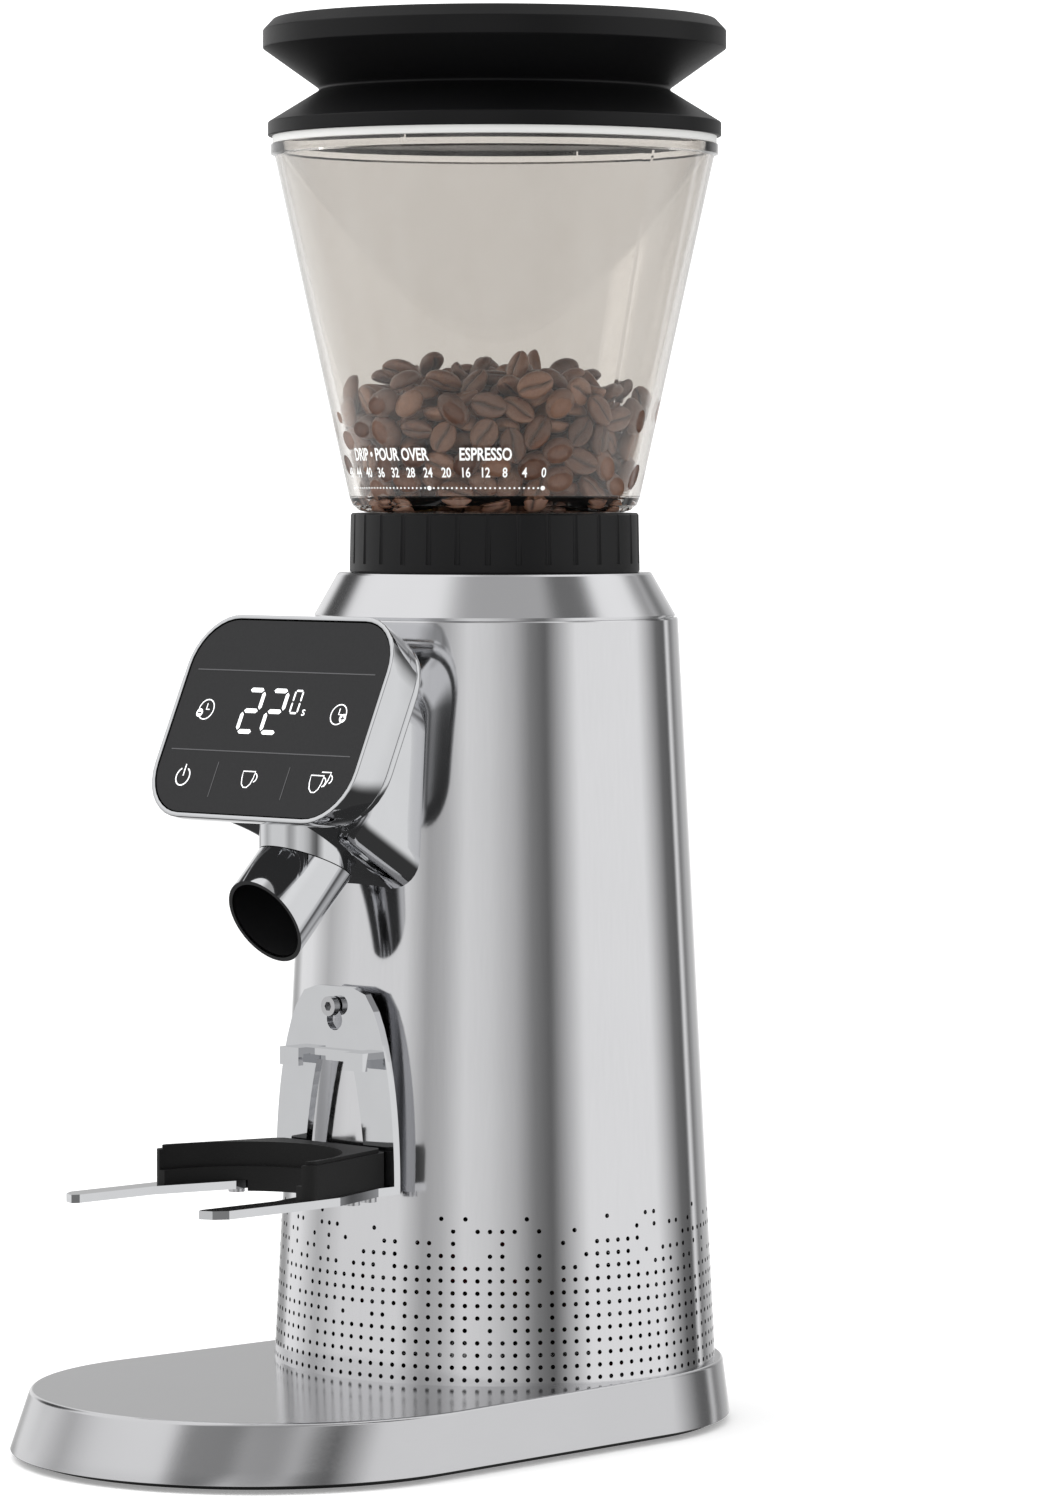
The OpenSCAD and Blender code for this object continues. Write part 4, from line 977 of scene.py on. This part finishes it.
housing = {
    "backW": 75.3, "lowBack": -24.9, "highBack": 27.5, "sideBow": 0.9,
    "rimGroove": 0.45,
}


def makeHousing():
    halfW, half, corner = panel["width"] / 2, panel["length"] / 2, panel["corner"]
    backHalf = housing["backW"] / 2
    depth = panel["depth"]

    def sideRing(d, inset=0.0):
        share = min(1, max(0, (d - 1) / (depth - 1))) ** 1.3
        return panelRing(halfW + (backHalf - halfW) * share - inset,
                         -half + (half + housing["lowBack"]) * share + inset,
                         half + (housing["highBack"] - half) * share - inset,
                         corner - inset, d)

    rings = [sideRing(0.7, panel["bezelT"]), sideRing(0.12, panel["bezelT"]),
             sideRing(0, panel["bezelT"] - 0.1), sideRing(0, 0.3), sideRing(0.08, 0.1),
             sideRing(0.3, 0)]
    rings += [sideRing(d) for d in (2.5, 4.5, 6.5, 8.5, depth - 2.6, depth - 2.2)]
    groove = housing["rimGroove"]
    rings += [sideRing(depth - 2.0, groove), sideRing(depth - 1.5, groove), sideRing(depth - 1.3, 0.05)]
    rings += [sideRing(depth - 0.2, 0.05), sideRing(depth, 0.3)]
    back = depth + panel["rearT"]
    rings += [panelRing(backHalf - 1.0, housing["lowBack"] + 0.9, housing["highBack"] - 0.9, corner - 0.9, depth + 0.4),
              panelRing(backHalf - 2.0, housing["lowBack"] + 1.6, housing["highBack"] - 1.8, corner - 1.5, back),
              panelRing(backHalf - 12, housing["lowBack"] + 8, housing["highBack"] - 10, corner - 5, back)]
    piece = lofted("panelHousing", [placed(ring) for ring in rings])
    dress(piece, "stand", finishes["chrome"],
          ["panel_housing", "panel_rear_cover", "panel_bezel"])


arm = {
    "halfW": 20.5, "corner": 9, "high": 20, "lowFront": -26.3, "lowBack": -30.4,
    "flareEnd": 27, "depth": 62, "flareHalfW": 34.1, "flareLow": -23.9, "flareHigh": 24.5,
}


def coneDepth(x, y):
    # depth at which a line behind the panel meets the tower
    near, far = arm["flareEnd"], 90.0
    for step in range(40):
        mid = (near + far) / 2
        spot = onPanel(x, y, mid) / mm
        outside = math.hypot(spot.x, spot.y - axisY) > towerRadius(spot.z)
        near, far = (mid, far) if outside else (near, mid)
    return near


def makeArm():
    start = panel["depth"] + panel["rearT"] + 0.05
    rings = []
    steps = 12
    for step in range(steps + 1):
        share = step / steps
        ease = (1 - share) ** 2.6
        lowEase = (1 - share) ** 1.4
        rings.append(placed(panelRing(
            arm["halfW"] + (arm["flareHalfW"] - arm["halfW"]) * ease,
            arm["lowFront"] + (arm["flareLow"] - arm["lowFront"]) * lowEase,
            arm["high"] + (arm["flareHigh"] - arm["high"]) * ease,
            arm["corner"] + 4 * ease, start + (arm["flareEnd"] - start) * share)))

    def armRing(share):
        depth = arm["flareEnd"] + (arm["depth"] - arm["flareEnd"]) * share
        return panelRing(arm["halfW"], arm["lowFront"] + (arm["lowBack"] - arm["lowFront"]) * share,
                         arm["high"], arm["corner"], depth)

    rootRing = armRing(1)
    ends = [coneDepth(x, y) for x, y, depth in rootRing]
    span = arm["depth"] - arm["flareEnd"]
    for share in (0.25, 0.5, 0.75, 1.0):
        ring = []
        for (x0, y0, d0), (x1, y1, d1), end in zip(armRing(0), rootRing, ends):
            depth = arm["flareEnd"] + (end - arm["flareEnd"]) * share
            along = (depth - arm["flareEnd"]) / span
            ring.append(onPanel(x0 + (x1 - x0) * along, y0 + (y1 - y0) * along, depth))
        rings.append(ring)
    piece = lofted("armShell", rings)
    dress(piece, "stand", finishes["chrome"], ["arm_body"])


marks = {"lift": 0.06, "line": 0.3, "lineY": 13.0, "lowLineY": -9.9, "rowY": -17.6, "iconY": 1.6}


def stroke(path, width, isClosed=False):
    # a flat ribbon along a path
    count = len(path)
    left, right = [], []
    for index in range(count):
        before = Vector(path[index - 1] if index or isClosed else path[0])
        after = Vector(path[(index + 1) % count] if index < count - 1 or isClosed else path[-1])
        way = (after - before).normalized()
        side = Vector((-way.y, way.x)) * width / 2
        here = Vector(path[index])
        left.append(here + side)
        right.append(here - side)
    faces = []
    for index in range(count if isClosed else count - 1):
        after = (index + 1) % count
        faces.append((index, after, count + after, count + index))
    return left + right, faces


def arc(cx, cy, radius, start, end, steps=20, squash=1.0):
    return [(cx + radius * math.cos(math.radians(start + (end - start) * k / steps)),
             cy + radius * squash * math.sin(math.radians(start + (end - start) * k / steps)))
            for k in range(steps + 1)]


def bar(x0, y0, x1, y1, width):
    # one display segment with pointed ends
    start, end = Vector((x0, y0)), Vector((x1, y1))
    way = (end - start).normalized()
    side = Vector((-way.y, way.x)) * width / 2
    tip = way * width * 0.55
    return [start, start + tip + side, end - tip + side, end, end - tip - side, start + tip - side], \
        [(0, 1, 2, 3, 4, 5)]


def digit(cx, lowY, highY, width, thick, segments):
    midY, x = (lowY + highY) / 2, width / 2
    gap = thick * 0.32
    places = {
        "a": (cx - x + gap, highY, cx + x - gap, highY), "g": (cx - x + gap, midY, cx + x - gap, midY),
        "d": (cx - x + gap, lowY, cx + x - gap, lowY),
        "b": (cx + x, highY - gap, cx + x, midY + gap), "c": (cx + x, midY - gap, cx + x, lowY + gap),
        "f": (cx - x, highY - gap, cx - x, midY + gap), "e": (cx - x, midY - gap, cx - x, lowY + gap)}
    return [bar(*places[name], thick) for name in segments]


def cup(cx, cy, grow=1.0):
    body = [(-2.3, 2.3), (-2.15, 0.4), (-1.6, -1.3), (-0.6, -2.2), (0.6, -2.2), (1.6, -1.3),
            (2.15, 0.4), (2.3, 2.3)]
    outline = [(cx + x * grow, cy + y * grow) for x, y in body]
    handle = arc(cx + 2.2 * grow, cy + 0.6 * grow, 1.25 * grow, -75, 80, 10)
    return [stroke(outline, marks["line"], True), stroke(handle, marks["line"])]


def clock(cx, cy, badgeX, isPlus):
    shapes = [stroke(arc(cx, cy, 2.8, 0, 352, 36), marks["line"], True),
              stroke([(cx, cy + 1.7), (cx, cy), (cx + 1.2, cy)], marks["line"])]
    shapes.append(discShape(1.2, 24))
    shapes[-1] = ([(x + cx + badgeX, y + cy - 1.0) for x, y in shapes[-1][0]], shapes[-1][1])
    return shapes


def makeMarks(name, shapes, finish, lift):
    points, faces = [], []
    for spots, shapeFaces in shapes:
        first = len(points)
        points.extend(onPanel(x, y, panel["glassDepth"] - lift) for x, y in spots)
        faces.extend(tuple(first + index for index in face) for face in shapeFaces)
    piece = newPiece(name, points, faces, False)
    thick = piece.modifiers.new("inkLayer", "SOLIDIFY")
    thick.thickness = 0.03 * mm
    thick.offset = 0
    dress(piece, "stand", finish, evenShade=False)


def makePanelMarks():
    white = markFinish("litMark", rgb(245, 246, 248), 0.9)
    # the faint grey divider lines get a slight glow (emission 0.02): painted light, since these lines are not lit
    faint = markFinish("faintMarkPaintedGlow", rgb(88, 88, 90), 0.02)
    dark = markFinish("badgeMark", rgb(50, 50, 52), 0.0)
    iconY, rowY, line = marks["iconY"], marks["rowY"], marks["line"]
    lit = digit(-8.6, -4.2, 7.6, 5.9, 1.25, "abged") + digit(0.4, -4.2, 7.6, 5.9, 1.25, "abged")
    lit += digit(7.5, 1.5, 7.8, 2.8, 0.55, "abcdef")
    small = letterShape("s", 3.8, 0.0)
    lit.append(([(x + 11.3, y + 0.9) for x, y in small[0]], small[1]))
    lit += clock(-25.8, iconY, -2.2, False) + clock(24.6, iconY, 1.9, True)
    lit.append(stroke(arc(-26.4, rowY, 2.5, 118, 422, 30), 0.36))
    lit.append(stroke([(-26.4, rowY + 3.5), (-26.4, rowY + 0.2)], 0.36))
    lit += cup(-1.6, rowY) + cup(24.2, rowY - 0.3, 1.05)
    behind = arc(28.4, rowY + 1.2, 1.2, -70, 80, 10)
    lit += [stroke([(25.4, rowY + 3.1), (28.9, rowY + 3.1), (28.5, rowY + 0.9), (27.6, rowY - 0.9)], line),
            stroke([(x + 0.3, y) for x, y in behind], line)]
    makeMarks("panelLights", lit, white, marks["lift"])
    lines = [stroke([(-34, marks["lineY"]), (33.4, marks["lineY"])], 0.3),
             stroke([(-34.2, marks["lowLineY"]), (33.8, marks["lowLineY"])], 0.3),
             stroke([(-14.4, -13.0), (-14.4, -23.0)], 0.26), stroke([(13.0, -13.6), (13.0, -22.8)], 0.26)]
    makeMarks("panelLines", lines, faint, marks["lift"])
    badge = [stroke([(-28.7, iconY - 1.0), (-27.3, iconY - 1.0)], 0.4),
             stroke([(25.8, iconY - 1.0), (27.2, iconY - 1.0)], 0.4),
             stroke([(26.5, iconY - 1.7), (26.5, iconY - 0.3)], 0.4)]
    makeMarks("panelBadges", badge, dark, marks["lift"] + 0.06)


makeHousing()
makeArm()
makePanelMarks()
print("panel and arm made")


# ---- spout lining ----

spout = {"angle": 45, "mouthAngle": 30, "length": 20.6, "inset": 0.7, "wall": 1.1}


def makeSpoutLining():
    neckLow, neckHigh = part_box("spout_neck")
    tubeR = (neckHigh.x - neckLow.x) / 2 / mm
    centreY = (neckLow.y + neckHigh.y) / 2 / mm
    elbowZ = neckLow.z / mm + tubeR * math.tan(math.radians(spout["angle"] / 2)) - 0.15
    radius = tubeR - spout["wall"] - 0.06
    turn = math.radians(spout["angle"])
    way = Vector((0, -math.sin(turn), -math.cos(turn)))
    across = Vector((0, -math.cos(turn), math.sin(turn)))
    elbow = Vector((0, centreY, elbowZ))
    tilt = math.radians(spout["mouthAngle"])
    mouthOut = Vector((0, -math.cos(tilt), -math.sin(tilt)))
    mouth = elbow + way * (spout["length"] - spout["inset"])
    rings = []
    for plane, normal, axis, side in (
            (mouth, mouthOut, way, across),
            (elbow, Vector((0, -math.sin(turn / 2), -math.cos(turn / 2))), way, across),
            (elbow + Vector((0, 0, 13)), Vector((0, 0, 1)), Vector((0, 0, 1)), Vector((0, -1, 0)))):
        ring = []
        for index in range(64):
            angle = math.tau * index / 64
            base0 = elbow + (Vector((1, 0, 0)) * math.cos(angle) + side * math.sin(angle)) * radius
            shift = (plane - base0).dot(normal) / axis.dot(normal)
            ring.append((base0 + axis * shift) * mm)
        rings.append(ring)
    piece = lofted("spoutLining", rings, capLast=True)
    dress(piece, "stand", finishes["black_plastic"], evenShade=False)


makeSpoutLining()


# ---- bracket and pad ----

def makeHolder():
    piece, body = refined("fork_pad", "forkPad", 1.1, 4)
    dress(piece, body, finishes["soft_black"], ["fork_pad"])
    edge = nodes["holder_bracket"].modifiers.new("roundEdge", "BEVEL")
    edge.width = 0.2 * mm
    edge.segments = 2
    edge.limit_method = "ANGLE"
    edge.angle_limit = math.radians(50)


makeHolder()
print("holder made")
